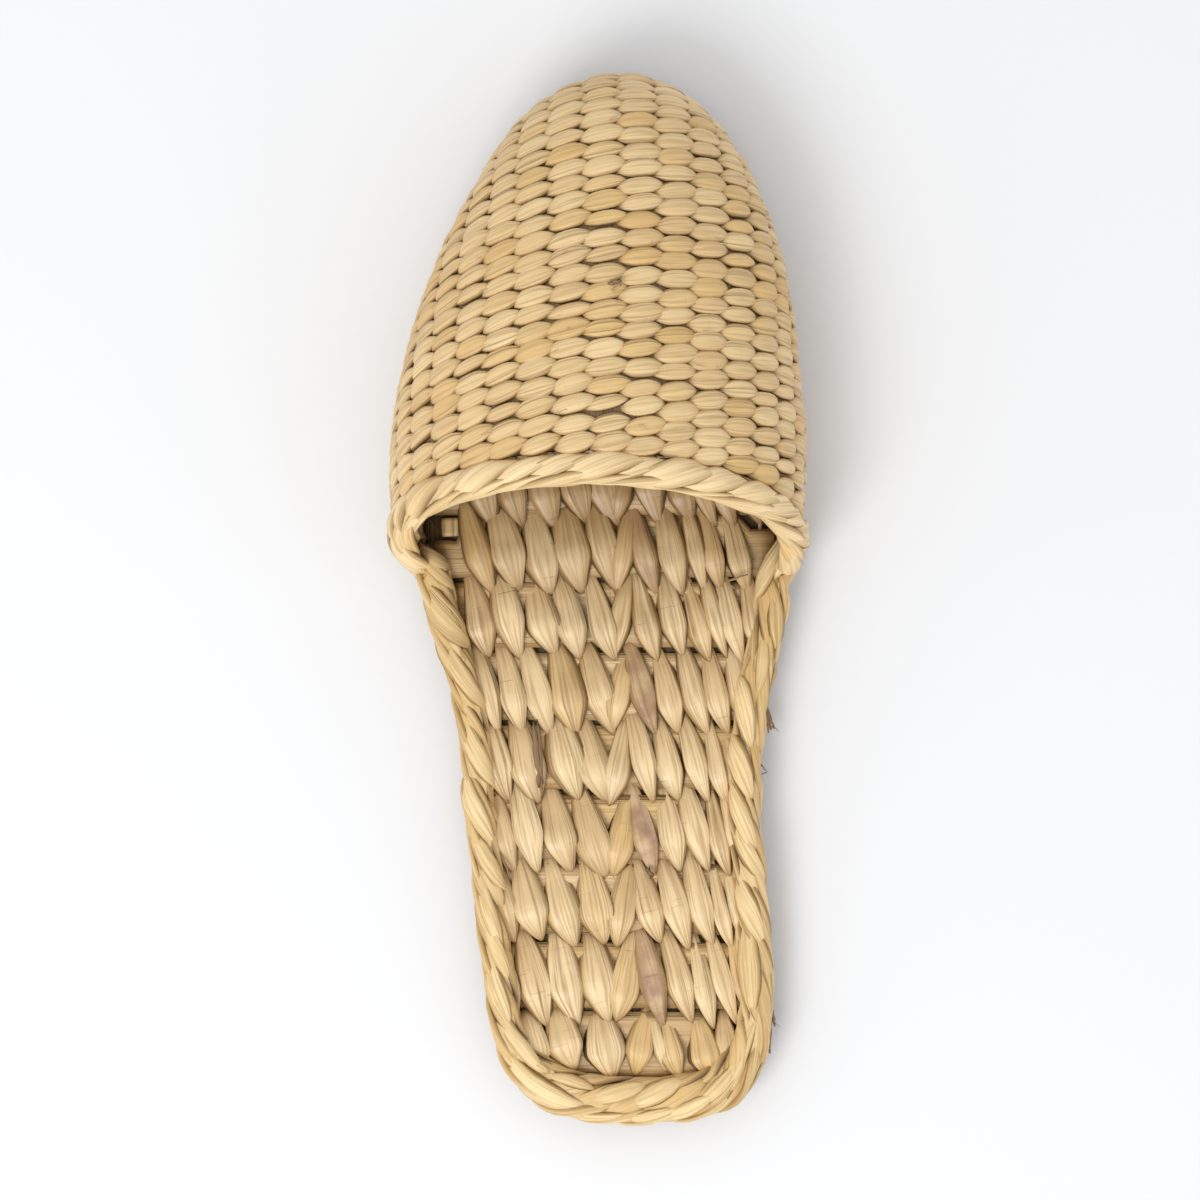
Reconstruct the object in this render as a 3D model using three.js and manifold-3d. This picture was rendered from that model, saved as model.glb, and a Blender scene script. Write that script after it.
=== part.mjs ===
// A closed-toe straw slipper with an open heel, woven whole from dried reed leaf: the left shoe of a pair.
// Units are millimetres. +Y runs from heel to toe, +Z is up and +X is the wearer's right, the big-toe side.
// The sole is two woven mats, an outsole and a footbed whose straws stand up in spindles over flat cross ribs.
// The upper is a hollow woven wall standing on the outsole, closed at the throat by a twisted border,
// and a second twisted strand binds the open edge of the sole around the heel.

import * as THREE from "three";
import { mergeVertices } from "three/addons/utils/BufferGeometryUtils.js";
import Module from "manifold-3d";

const wasm = await Module();
wasm.setup();

// Driving sizes
const shoeLength = 270;
const soleHalfWidth = 50; // at the ball of the foot
const outsoleThickness = 7;
const outsoleEdgeRound = 1.2; // how far the outsole's two edge ropes round over
const springStart = 195; // from the heel to where the toe starts to lift
const toeSpring = 3.5; // lift of the sole at the tip of the toe
const seatGap = 0.3; // between pieces that touch

// Upper
const instepHeight = 59; // crown of the throat above the outsole
const upperWall = 3; // stakes and weavers together, without the raised stitches
const upperSetIn = 0.8; // from the sole's edge to the foot of the upper
const sideBulge = 0.2; // how far the flanks swell past their feet, as a share of the half width
const toeFullness = 1.7; // exponents of the crown line: high until close to the tip, then steeply down
const toeRoundness = 0.33;
const crownStart = 160; // from the heel to where the crown line starts to fall
const throatFoot = 148.5; // from the heel to the feet of the throat
const throatLean = 23; // degrees that each woven row leans towards the toe
const rowPitch = 4.7; // along the crown, one woven row to the next
const stakePitch = 8.7; // around the upper, one stake to the next
const stitchRise = 1.3; // a stitch's ridge above the wall
const ridgeReach = 0.22; // half the length of a stitch's ridge, as a share of the stake pitch
const stitchLean = 0.14; // sideways lean of that ridge at each end, as a share of the row pitch

// Footbed
const footbedThickness = 3.6; // ribs only
const ribGrooveDepth = 1.2;
const ribShare = 0.66; // of the row pitch that a flat rib fills
const footbedClearance = 1.2; // between the footbed's edge and the inside of the upper
const strawPitch = 7.1; // across the sole, one straw to the next
const strawRowPitch = 17.4; // along the sole, one row of straws to the next
const strawRise = 2.6; // a straw's ridge above the ribs
const strawLean = 0.42; // sideways run of a straw from top to tip, as a share of the straw pitch

// Edge strands
const bindingHeight = 8;
const bindingWidth = 7.6; // along the sides
const bindingHeelWidth = 11.6; // across the back of the heel
const heelTurn = 26; // from the heel to where the binding starts to widen
const bindingLay = 42; // length of one full turn of a strand
const borderWidth = 8.2;
const borderLay = 36;
const strandCount = 3;
const strandDepth = 0.2; // of the half width, between strands

// Sole outline from the heel, as shares of the length and of the half width at the ball.
const soleEnds = { heel: 0.2, toe: 0.12 };
const soleOutline = [
  { along: 0.012, left: -0.24, right: 0.645 },
  { along: 0.055, left: -0.49, right: 0.84 },
  { along: 0.12, left: -0.575, right: 0.89 },
  { along: 0.21, left: -0.635, right: 0.865 },
  { along: 0.3, left: -0.69, right: 0.83 },
  { along: 0.39, left: -0.735, right: 0.855 },
  { along: 0.475, left: -0.865, right: 0.955 },
  { along: 0.555, left: -0.965, right: 0.99 },
  { along: 0.645, left: -0.985, right: 1.01 },
  { along: 0.735, left: -0.91, right: 0.97 },
  { along: 0.82, left: -0.765, right: 0.905 },
  { along: 0.9, left: -0.56, right: 0.755 },
  { along: 0.956, left: -0.36, right: 0.57 },
  { along: 0.988, left: -0.13, right: 0.36 },
];

const strawColour = 0xcdb083;
const ribColour = 0xa98c62;

const lengthwise = new THREE.Vector3(0, 1, 0);

// Height that the sole lifts at a distance from the heel: flat, then a parabola up to the toe.
function springAt(y) {
  const share = Math.max(0, (y - springStart) / (shoeLength - springStart));
  return toeSpring * share * share;
}

// The sole's edge moved inwards: its points in order from the heel, counterclockwise, and its sides.
function outlineAt(inset) {
  const right = soleOutline.map((row) => [row.right, row.along]);
  const left = soleOutline.map((row) => [row.left, row.along]).reverse();
  const shares = [[soleEnds.heel, 0], ...right, [soleEnds.toe, 1], ...left];
  const corners = shares.map(
    ([across, along]) => new THREE.Vector3(across * soleHalfWidth, along * shoeLength, 0),
  );
  const curve = new THREE.CatmullRomCurve3(corners, true, "catmullrom", 0.5);
  const spans = 4; // samples between two rows of the table
  const count = corners.length * spans;
  const points = [];
  for (let i = 0; i < count; i++) {
    const along = curve.getTangent(i / count);
    const inward = new THREE.Vector3(-along.y, along.x, 0).normalize();
    points.push(curve.getPoint(i / count).addScaledVector(inward, inset));
  }
  const toe = (soleOutline.length + 1) * spans;
  const sides = {
    right: points.slice(0, toe + 1),
    left: [points[0], ...points.slice(toe).reverse()],
  };
  return { points, sides, heelY: points[0].y, toeY: points[toe].y };
}

// Sideways place of one side of an outline at a distance from the heel.
function sideAt(side, y) {
  let low = 0;
  let high = side.length - 1;
  while (high - low > 1) {
    const middle = (low + high) >> 1;
    if (side[middle].y <= y) low = middle;
    else high = middle;
  }
  const share = (y - side[low].y) / (side[high].y - side[low].y);
  return THREE.MathUtils.lerp(side[low].x, side[high].x, THREE.MathUtils.clamp(share, 0, 1));
}

// One face of the upper: its outline at the outsole and its crown line.
function faceOfUpper(inset) {
  const outline = outlineAt(upperSetIn + inset);
  const crown = (y) => {
    const share = Math.max(0, (y - crownStart) / (outline.toeY - crownStart));
    return (instepHeight - inset) * (1 - Math.min(1, share) ** toeFullness) ** toeRoundness;
  };
  return { outline, crown };
}

// A point of a face: angle 0 at the right foot, a quarter turn at the crown, a half turn at the left foot.
// Across, a half circle that swells past its feet; up, the sine of the angle times the crown's height.
function sectionPoint(face, angle, y) {
  const right = sideAt(face.outline.sides.right, y);
  const left = sideAt(face.outline.sides.left, y);
  const swell = 1 + sideBulge * Math.abs(Math.sin(2 * angle));
  const x = (right + left) / 2 + ((right - left) / 2) * Math.cos(angle) * swell;
  const foot = outsoleThickness + seatGap + springAt(y);
  return new THREE.Vector3(x, y, foot + face.crown(y) * Math.sin(angle));
}

// A row is where a plane that leans towards the toe, and starts at footY on the outsole, cuts the face.
function rowPoint(face, angle, footY) {
  const lean = Math.tan(THREE.MathUtils.degToRad(throatLean)) * Math.sin(angle);
  let near = footY;
  let far = face.outline.toeY;
  for (let i = 0; i < 40; i++) {
    const middle = (near + far) / 2;
    if (middle - lean * face.crown(middle) < footY) near = middle;
    else far = middle;
  }
  return sectionPoint(face, angle, near);
}

// A row with its length measured both ways from the crown, right positive.
function measuredRow(face, footY) {
  const steps = 72;
  const places = [];
  for (let i = 0; i <= steps; i++) {
    const angle = Math.PI * (1 - i / steps);
    places.push({ point: rowPoint(face, angle, footY), at: 0 });
  }
  for (let i = 1; i <= steps; i++) {
    places[i].at = places[i - 1].at + places[i].point.distanceTo(places[i - 1].point);
  }
  const crown = places[steps / 2].at;
  places.forEach((place) => (place.at -= crown));
  return places;
}

// The point at a distance around a measured row.
function pointOnRow(row, at) {
  let i = 1;
  while (i < row.length - 1 && row[i].at < at) i++;
  const share = (at - row[i - 1].at) / (row[i].at - row[i - 1].at);
  return row[i - 1].point.clone().lerp(row[i].point, THREE.MathUtils.clamp(share, 0, 1));
}

// Feet of the rows, spaced evenly along the crown from the throat to close to the tip of the toe.
function rowFeet(face, pitch) {
  const samples = 200;
  const tip = face.outline.toeY;
  const feet = [throatFoot];
  let last = rowPoint(face, Math.PI / 2, throatFoot);
  let run = 0;
  for (let i = 1; i < samples; i++) {
    const foot = THREE.MathUtils.lerp(throatFoot, tip, i / samples);
    const point = rowPoint(face, Math.PI / 2, foot);
    run += point.distanceTo(last);
    last = point;
    if (run >= pitch) {
      feet.push(foot);
      run -= pitch;
    }
  }
  return feet;
}

// Triangles between two chains of vertices, stepping along whichever has the nearer next place.
function zip(faces, first, second, flip) {
  let a = 0;
  let b = 0;
  const place = (chain, i) => chain[i].at;
  while (a < first.length - 1 || b < second.length - 1) {
    const stepFirst =
      b === second.length - 1 ||
      (a < first.length - 1 && place(first, a + 1) <= place(second, b + 1));
    const tri = stepFirst
      ? [first[a].id, first[a + 1].id, second[b].id]
      : [first[a].id, second[b + 1].id, second[b].id];
    faces.push(flip ? [tri[0], tri[2], tri[1]] : tri);
    if (stepFirst) a++;
    else b++;
  }
}

// One stitch: the mesh abcd between two stakes and two rows, raised to a ridge that leans along the row.
function addStitch([a, b, c, d], vertices, faces) {
  const alongRow = new THREE.Vector3().subVectors(vertices[b], vertices[a]);
  const acrossRow = new THREE.Vector3().subVectors(vertices[d], vertices[a]);
  const rise = stitchRise * Math.min(1, alongRow.length() / stakePitch);
  const out = new THREE.Vector3().crossVectors(alongRow, acrossRow).normalize();
  const [low, high] = [-1, 1].map((end) => {
    const near = vertices[a].clone().lerp(vertices[b], 0.5 + end * ridgeReach);
    const far = vertices[d].clone().lerp(vertices[c], 0.5 + end * ridgeReach);
    vertices.push(near.lerp(far, 0.5 + end * stitchLean).addScaledVector(out, rise));
    return vertices.length - 1;
  });
  faces.push([a, b, low], [b, high, low], [b, c, high], [c, d, high], [d, low, high], [d, a, low]);
}

// The vertices of each row: its left end, the stakes that it crosses, counted from the crown, its right end.
function rowLines(face, along, around, vertices) {
  const margin = around / 4; // room between the last stake and the row's end
  return rowFeet(face, along).map((foot) => {
    const row = measuredRow(face, foot);
    const line = [];
    const add = (at, stake) => {
      vertices.push(pointOnRow(row, at));
      line.push({ id: vertices.length - 1, at, stake });
    };
    const left = row[0].at;
    const right = row[row.length - 1].at;
    add(left, null);
    for (let k = Math.ceil((left + margin) / around); k * around <= right - margin; k++) {
      add(k * around, k);
    }
    add(right, null);
    return line;
  });
}

// Stitches between two neighbouring rows, with plain triangles where a stake ends in only one of them.
function addStitchRow(near, far, vertices, faces) {
  const shared = near.filter((v) => v.stake !== null && far.some((w) => w.stake === v.stake));
  if (shared.length < 2) {
    zip(faces, near, far, false);
    return;
  }
  const first = shared[0].stake;
  const last = shared[shared.length - 1].stake;
  const upTo = (line) => line.slice(0, line.findIndex((v) => v.stake === first) + 1);
  const between = (line) => line.filter((v) => v.stake !== null && v.stake >= first && v.stake <= last);
  const from = (line) => line.slice(line.findIndex((v) => v.stake === last));
  for (const part of [upTo, between, from]) {
    const [low, high] = [part(near), part(far)];
    if (low.length !== high.length) {
      zip(faces, low, high, false);
      continue;
    }
    for (let i = 0; i + 1 < low.length; i++) {
      addStitch([low[i].id, low[i + 1].id, high[i + 1].id, high[i].id], vertices, faces);
    }
  }
}

// A face of the upper as a sheet: its rows joined, then closed at the tip. Returns its two open edges.
function addSheet(face, along, around, woven, vertices, faces) {
  const lines = rowLines(face, along, around, vertices);
  vertices.push(sectionPoint(face, Math.PI / 2, face.outline.toeY));
  const tip = { id: vertices.length - 1, at: 0, stake: null };
  for (let j = 0; j + 1 < lines.length; j++) {
    if (woven) addStitchRow(lines[j], lines[j + 1], vertices, faces);
    else zip(faces, lines[j], lines[j + 1], true);
  }
  zip(faces, lines[lines.length - 1], [tip], !woven);
  const rightFeet = lines.map((line) => line[line.length - 1]);
  const leftFeet = lines.map((line) => line[0]).reverse();
  return { throat: lines[0], feet: [...rightFeet, tip, ...leftFeet] };
}

// Numbers each chain's vertices from 0 to 1 by its own length, so that two chains can be zipped.
function evenly(chain, vertices) {
  let run = 0;
  const placed = chain.map((v, i) => {
    if (i > 0) run += vertices[v.id].distanceTo(vertices[chain[i - 1].id]);
    return { id: v.id, at: run };
  });
  return placed.map((v) => ({ id: v.id, at: v.at / run }));
}

function geometryOf(vertices, faces) {
  const geometry = new THREE.BufferGeometry();
  geometry.setAttribute(
    "position",
    new THREE.Float32BufferAttribute(vertices.flatMap((v) => [v.x, v.y, v.z]), 3),
  );
  geometry.setIndex(faces.flat());
  return geometry;
}

// Upper: a woven outer face, a plain inner face, and the two joined at the throat and along the feet.
function upperGeometry() {
  const vertices = [];
  const faces = [];
  const outer = addSheet(faceOfUpper(0), rowPitch, stakePitch, true, vertices, faces);
  const inner = addSheet(faceOfUpper(upperWall), 2 * rowPitch, 2 * stakePitch, false, vertices, faces);
  zip(faces, evenly(outer.throat, vertices), evenly(inner.throat, vertices), true);
  zip(faces, evenly(outer.feet, vertices), evenly(inner.feet, vertices), true);
  return geometryOf(vertices, faces);
}

// A closed solid between level outlines, each with its own inset and height, following the toe spring.
function stackedOutlines(levels) {
  const vertices = [];
  const faces = [];
  const rings = levels.map(({ inset, z }) =>
    outlineAt(inset).points.map((p) => new THREE.Vector3(p.x, p.y, z + springAt(p.y))),
  );
  const count = rings[0].length;
  rings.forEach((ring) => vertices.push(...ring));
  for (let level = 0; level + 1 < rings.length; level++) {
    for (let i = 0; i < count; i++) {
      const [a, b] = [level * count + i, level * count + ((i + 1) % count)];
      faces.push([a, b, b + count], [a, b + count, a + count]);
    }
  }
  // The caps run across the sole between the two sides, so that they bend with the toe spring.
  const half = count / 2;
  const cap = (start, up) => {
    for (let i = 0; i < half; i++) {
      const right = [start + i, start + i + 1];
      const left = [start + ((count - i) % count), start + count - i - 1];
      const tris = [];
      if (i > 0) tris.push([left[0], right[0], left[1]]);
      if (i < half - 1) tris.push([right[0], right[1], left[1]]);
      tris.forEach((t) => faces.push(up ? t : [t[0], t[2], t[1]]));
    }
  };
  cap(0, false);
  cap((rings.length - 1) * count, true);
  return geometryOf(vertices, faces);
}

// Outsole: a flat mat whose side shows its two edge ropes, one above the other.
function outsoleGeometry() {
  const waist = outsoleEdgeRound * 0.6;
  return stackedOutlines([
    { inset: outsoleEdgeRound, z: 0 },
    { inset: 0, z: outsoleThickness * 0.25 },
    { inset: waist, z: outsoleThickness * 0.5 },
    { inset: 0, z: outsoleThickness * 0.75 },
    { inset: outsoleEdgeRound, z: outsoleThickness },
  ]);
}

function solidOf(geometry) {
  const bare = geometry.index ? geometry.toNonIndexed() : geometry.clone();
  bare.deleteAttribute("normal");
  bare.deleteAttribute("uv");
  const merged = mergeVertices(bare, 1e-4);
  return new wasm.Manifold(
    new wasm.Mesh({
      numProp: 3,
      vertProperties: merged.attributes.position.array,
      triVerts: new Uint32Array(merged.index.array),
    }),
  );
}

function geometryFrom(solid) {
  const mesh = solid.getMesh();
  const geometry = new THREE.BufferGeometry();
  geometry.setAttribute("position", new THREE.BufferAttribute(mesh.vertProperties, 3));
  geometry.setIndex(new THREE.BufferAttribute(mesh.triVerts, 1));
  return geometry;
}

// One footbed straw: a boat upside down, pointed at both ends, with a ridge that leans sideways.
const strawPlan = [
  { across: -0.1, along: 0.62 },
  { across: -0.5, along: 0.12 },
  { across: -0.42, along: -0.2 },
  { across: 0.06, along: -0.62 },
  { across: 0.5, along: -0.2 },
  { across: 0.42, along: 0.16 },
];
const strawRidge = [
  { across: 0, along: 0.22 },
  { across: 0, along: -0.3 },
];

function strawGeometry(x, y, ribTop) {
  const lean = (along) => -along * strawLean * strawPitch;
  const place = ({ across, along }, z) =>
    new THREE.Vector3(x + across * strawPitch + lean(along), y + along * strawRowPitch, z);
  const sunk = ribTop - ribGrooveDepth;
  const rim = strawPlan.map((corner) => place(corner, sunk));
  const ridge = strawRidge.map((corner) => place(corner, ribTop + strawRise));
  const keel = new THREE.Vector3(x, y, sunk - ribGrooveDepth);
  const [top, tip, under] = [6, 7, 8];
  const faces = [
    [0, 1, top], [1, 2, top], [2, tip, top], [2, 3, tip],
    [3, 4, tip], [4, 5, tip], [5, top, tip], [5, 0, top],
  ];
  for (let i = 0; i < 6; i++) faces.push([(i + 1) % 6, i, under]);
  return geometryOf([...rim, ...ridge, keel], faces);
}

// Width of the binding at a distance from the heel.
function bindingWidthAt(y) {
  const share = THREE.MathUtils.smoothstep(y, bindingHeelWidth / 2, heelTurn);
  return THREE.MathUtils.lerp(bindingHeelWidth, bindingWidth, share);
}

// How far the footbed keeps from the sole's edge: clear of the binding at the heel and of the upper ahead.
function footbedInset(y) {
  const besideBinding = bindingWidthAt(y) + 2 * seatGap;
  const insideUpper = upperSetIn + upperWall + footbedClearance;
  const share = THREE.MathUtils.smoothstep(y, throatFoot, throatFoot + borderWidth);
  return THREE.MathUtils.lerp(besideBinding, insideUpper, share);
}

// The plan of the footbed, as a prism between two heights.
function footbedPrism(low, high) {
  const nearEdge = outlineAt(0).points;
  const insets = nearEdge.map((p) => footbedInset(p.y));
  const corners = nearEdge.map((p, i) => {
    const count = nearEdge.length;
    const run = new THREE.Vector3().subVectors(
      nearEdge[(i + 1) % count], nearEdge[(i + count - 1) % count]);
    const inward = new THREE.Vector3(-run.y, run.x, 0).normalize();
    return p.clone().addScaledVector(inward, insets[i]);
  });
  const every = corners.filter((_, i) => i % 2 === 0);
  const shape = new THREE.Shape(every.map((p) => new THREE.Vector2(p.x, p.y)));
  const prism = new THREE.ExtrudeGeometry(shape, { depth: high - low, bevelEnabled: false });
  prism.translate(0, 0, low);
  return solidOf(prism);
}

// Footbed: flat cross ribs with a groove between, and rows of straws over them, bent up with the toe.
function footbedGeometry() {
  const base = outsoleThickness + seatGap;
  const ribTop = base + footbedThickness;
  const grooveTop = ribTop - ribGrooveDepth;
  const rowCount = Math.floor(shoeLength / strawRowPitch);
  const columnCount = Math.ceil((2 * soleHalfWidth) / strawPitch);
  const grooves = [];
  const straws = [];
  for (let row = 0; row <= rowCount; row++) {
    const y = (row + 0.5) * strawRowPitch;
    const groove = new THREE.BoxGeometry(
      4 * soleHalfWidth, (1 - ribShare) * strawRowPitch, 2 * ribGrooveDepth);
    groove.translate(0, y - strawRowPitch / 2, grooveTop + ribGrooveDepth);
    grooves.push(solidOf(groove));
    for (let column = -columnCount / 2; column <= columnCount / 2; column++) {
      const x = column * strawPitch;
      const edge = outlineAt(footbedInset(y));
      const room = strawPitch * 0.22;
      const inside =
        y > edge.heelY && y < edge.toeY &&
        x > sideAt(edge.sides.left, y) + room && x < sideAt(edge.sides.right, y) - room;
      if (inside) straws.push(solidOf(strawGeometry(x, y, ribTop)));
    }
  }
  const plate = footbedPrism(base, ribTop).subtract(wasm.Manifold.union(grooves));
  const weave = wasm.Manifold.union(straws).intersect(
    footbedPrism(base + ribGrooveDepth / 2, ribTop + 2 * strawRise));
  const flat = geometryFrom(plate.add(weave));
  const position = flat.attributes.position;
  for (let i = 0; i < position.count; i++) {
    position.setZ(i, position.getZ(i) + springAt(position.getY(i)));
  }
  return flat;
}

// Strands twisted along a path, which holds the half width and half height at each of its stations.
function twistedStrands(stations, lay) {
  const sides = 12;
  const vertices = [];
  const faces = [];
  let run = 0;
  stations.forEach(({ centre, along, halfWidth, halfHeight }, i) => {
    if (i > 0) run += centre.distanceTo(stations[i - 1].centre);
    const out = new THREE.Vector3(0, 0, 1).cross(along);
    if (out.lengthSq() < 1e-6) out.copy(lengthwise);
    out.normalize();
    const up = new THREE.Vector3().crossVectors(along, out);
    for (let k = 0; k < sides; k++) {
      const angle = (2 * Math.PI * k) / sides;
      const phase = strandCount * (angle + (2 * Math.PI * run) / lay);
      const reach = 1 - strandDepth * (0.5 - 0.5 * Math.cos(phase));
      const point = centre.clone();
      point.addScaledVector(out, halfWidth * reach * Math.cos(angle));
      point.addScaledVector(up, halfHeight * reach * Math.sin(angle));
      vertices.push(point);
    }
  });
  const last = (stations.length - 1) * sides;
  for (let start = 0; start < last; start += sides) {
    for (let k = 0; k < sides; k++) {
      const [a, b] = [start + k, start + ((k + 1) % sides)];
      faces.push([a, b, b + sides], [a, b + sides, a + sides]);
    }
  }
  for (let k = 1; k + 1 < sides; k++) {
    faces.push([0, k + 1, k], [last, last + k, last + k + 1]);
  }
  return solidOf(geometryOf(vertices, faces));
}

// A block that fills everything below one height, or ahead of one distance from the heel.
function blockBelow(height) {
  const block = new THREE.BoxGeometry(4 * soleHalfWidth, 4 * shoeLength, 2 * outsoleThickness);
  block.translate(0, 0, height - outsoleThickness);
  return solidOf(block);
}

function blockAhead(distance) {
  const block = new THREE.BoxGeometry(4 * soleHalfWidth, shoeLength, 4 * instepHeight);
  block.translate(0, distance + shoeLength / 2, 0);
  return solidOf(block);
}

// The border lies against the throat, so its foot on the outsole is this far from the heel.
const borderFoot =
  throatFoot - (borderWidth / 2 + seatGap) / Math.cos(THREE.MathUtils.degToRad(throatLean));

// Border: twisted strands up one side of the throat, over the crown and down the other side.
function borderGeometry() {
  const wallMiddle = faceOfUpper(upperWall / 2);
  const points = [];
  const count = 24;
  for (let i = 0; i <= count; i++) {
    points.push(rowPoint(wallMiddle, (Math.PI * i) / count, borderFoot));
  }
  const sunk = (point) => point.clone().setZ(point.z - borderWidth / 2);
  const path = new THREE.CatmullRomCurve3([sunk(points[0]), ...points, sunk(points[count])]);
  const steps = 46;
  const stations = [];
  for (let i = 0; i <= steps; i++) {
    stations.push({
      centre: path.getPointAt(i / steps),
      along: path.getTangentAt(i / steps),
      halfWidth: borderWidth / 2,
      halfHeight: borderWidth / 2,
    });
  }
  const strands = twistedStrands(stations, borderLay);
  return geometryFrom(strands.subtract(blockBelow(outsoleThickness + seatGap)));
}

// Binding: twisted strands on the outsole's edge, from one foot of the border round the heel to the other.
function bindingGeometry() {
  const edge = outlineAt(0).points;
  const toe = edge.length / 2;
  const end = borderFoot - borderWidth / 2 - seatGap;
  const aroundHeel = [...edge.slice(toe), ...edge.slice(0, toe)];
  const reached = aroundHeel.filter((p) => p.y < end + borderWidth);
  const edgePath = new THREE.CatmullRomCurve3(reached);
  const steps = 56;
  const stations = [];
  for (let i = 0; i <= steps; i++) {
    const onEdge = edgePath.getPointAt(i / steps);
    const along = edgePath.getTangentAt(i / steps);
    const inward = new THREE.Vector3(-along.y, along.x, 0).normalize();
    const halfWidth = bindingWidthAt(onEdge.y) / 2;
    const centre = onEdge.clone().addScaledVector(inward, halfWidth);
    centre.z = outsoleThickness + seatGap + bindingHeight / 2;
    stations.push({ centre, along, halfWidth, halfHeight: bindingHeight / 2 });
  }
  return geometryFrom(twistedStrands(stations, bindingLay).subtract(blockAhead(end)));
}

function straw(name, geometry, colour, roughness) {
  const material = new THREE.MeshStandardMaterial({ color: colour, roughness, metalness: 0 });
  const mesh = new THREE.Mesh(geometry, material);
  mesh.name = name;
  return mesh;
}

const shoe = new THREE.Group();
shoe.add(
  straw("outsole", outsoleGeometry(), ribColour, 0.8),
  straw("footbed", footbedGeometry(), strawColour, 0.55),
  straw("sole_binding", bindingGeometry(), strawColour, 0.6),
  straw("upper", upperGeometry(), strawColour, 0.6),
  straw("throat_border", borderGeometry(), strawColour, 0.6),
);

// The origin is under the middle of the shoe, on the floor.
const bounds = new THREE.Box3().setFromObject(shoe);
const middle = bounds.getCenter(new THREE.Vector3());
shoe.position.set(-middle.x, -middle.y, -bounds.min.z);

export default shoe;
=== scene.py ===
"""A left slipper woven from dried reed leaf: closed toe, open heel, and a sole of two woven mats.

Lengths are in metres. Shapes are worked out with x from the middle of the heel, y from the heel and
z from the floor, and are then set down where the frame holds the outsole.
"""

import bpy
import numpy as np
from mathutils import Matrix, Vector


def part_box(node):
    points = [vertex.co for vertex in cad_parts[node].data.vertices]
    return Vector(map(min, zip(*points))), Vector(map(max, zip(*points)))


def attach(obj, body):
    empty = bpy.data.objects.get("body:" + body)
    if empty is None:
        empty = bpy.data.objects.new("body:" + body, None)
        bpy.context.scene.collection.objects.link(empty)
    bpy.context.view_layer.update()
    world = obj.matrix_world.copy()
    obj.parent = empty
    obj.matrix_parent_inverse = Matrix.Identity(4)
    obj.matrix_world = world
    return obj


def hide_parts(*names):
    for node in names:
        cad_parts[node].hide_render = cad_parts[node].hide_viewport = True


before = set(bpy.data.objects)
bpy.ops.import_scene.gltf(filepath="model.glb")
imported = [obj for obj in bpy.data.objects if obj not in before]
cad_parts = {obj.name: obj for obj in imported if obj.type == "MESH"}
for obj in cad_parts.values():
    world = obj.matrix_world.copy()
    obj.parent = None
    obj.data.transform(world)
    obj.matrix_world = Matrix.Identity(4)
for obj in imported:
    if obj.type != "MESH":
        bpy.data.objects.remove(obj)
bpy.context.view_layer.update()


# Outsole: a coarse mat of brown straw, the lowest layer of the sole. Its edge is two plied ropes, one
# above the other, and its underside shows rows of flat coarse stitches. It is sewn up through the
# footbed.
shoe_length = 0.27
sole_half_width = 0.05
outsole_thickness = 0.007
spring_start = 0.195
toe_spring = 0.0035
seat_gap = 0.0003
heel_across, toe_across = 0.2, 0.12
outline_spans = 12
# Rows of the sole's edge from the heel: share of the length, then left and right shares of the half
# width.
sole_outline = np.array([
    (0.012, -0.24, 0.645), (0.055, -0.49, 0.84), (0.12, -0.575, 0.89), (0.21, -0.635, 0.865),
    (0.3, -0.69, 0.83), (0.39, -0.735, 0.855), (0.475, -0.865, 0.955), (0.555, -0.965, 0.99),
    (0.645, -0.985, 1.01), (0.735, -0.91, 0.97), (0.82, -0.765, 0.905), (0.9, -0.56, 0.755),
    (0.956, -0.36, 0.57), (0.988, -0.13, 0.36),
])


def curve_through(corners, spans):
    """Closed smooth curve: between two corners a cubic, whose slope at a corner is half the chord
    between the corners on either side of it."""
    before, start, end, after = (np.roll(corners, k, axis=0)[:, None] for k in (1, 0, -1, -2))
    t = (np.arange(spans) / spans)[None, :, None]
    points = (
        (2 * t**3 - 3 * t**2 + 1) * start
        + (t**3 - 2 * t**2 + t) * (end - before) / 2
        + (3 * t**2 - 2 * t**3) * end
        + (t**3 - t**2) * (after - start) / 2
    )
    return points.reshape(-1, 2)


right_edge = sole_outline[:, [2, 0]]
left_edge = sole_outline[::-1, [1, 0]]
edge_corners = np.vstack([[heel_across, 0], right_edge, [toe_across, 1], left_edge])
sole_edge = curve_through(edge_corners * [sole_half_width, shoe_length], outline_spans)
toe_tip = (len(sole_outline) + 1) * outline_spans

outsole_low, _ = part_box("outsole")
heel_place = np.append(np.array(outsole_low)[:2] - sole_edge.min(axis=0), 0)


def unit(vectors):
    """Vectors divided by their lengths."""
    return vectors / np.maximum(np.linalg.norm(vectors, axis=-1, keepdims=True), 1e-12)


def run_along(lines):
    """How far along its line each point lies."""
    step = np.linalg.norm(np.diff(lines, axis=-2), axis=-1)
    return np.concatenate([np.zeros(step.shape[:-1] + (1,)), np.cumsum(step, axis=-1)], axis=-1)


def outline(inset):
    """The sole's edge, counterclockwise from the heel, moved inwards along its normals by inset."""
    slope = np.roll(sole_edge, -1, axis=0) - np.roll(sole_edge, 1, axis=0)
    inward = unit(np.stack([-slope[:, 1], slope[:, 0]], axis=1))
    return sole_edge + np.reshape(inset, (-1, 1)) * inward


def sides(inset, y):
    """The left and right x of the moved edge at distances y from the heel."""
    points = outline(inset)
    right = points[: toe_tip + 1]
    left = np.vstack([points[toe_tip:], points[:1]])[::-1]
    return np.interp(y, left[:, 1], left[:, 0]), np.interp(y, right[:, 1], right[:, 0])


def spring(y):
    """Lift of the sole towards the toe: nothing up to its start, then a parabola."""
    share = np.maximum(0, (y - spring_start) / (shoe_length - spring_start))
    return toe_spring * share**2


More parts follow.
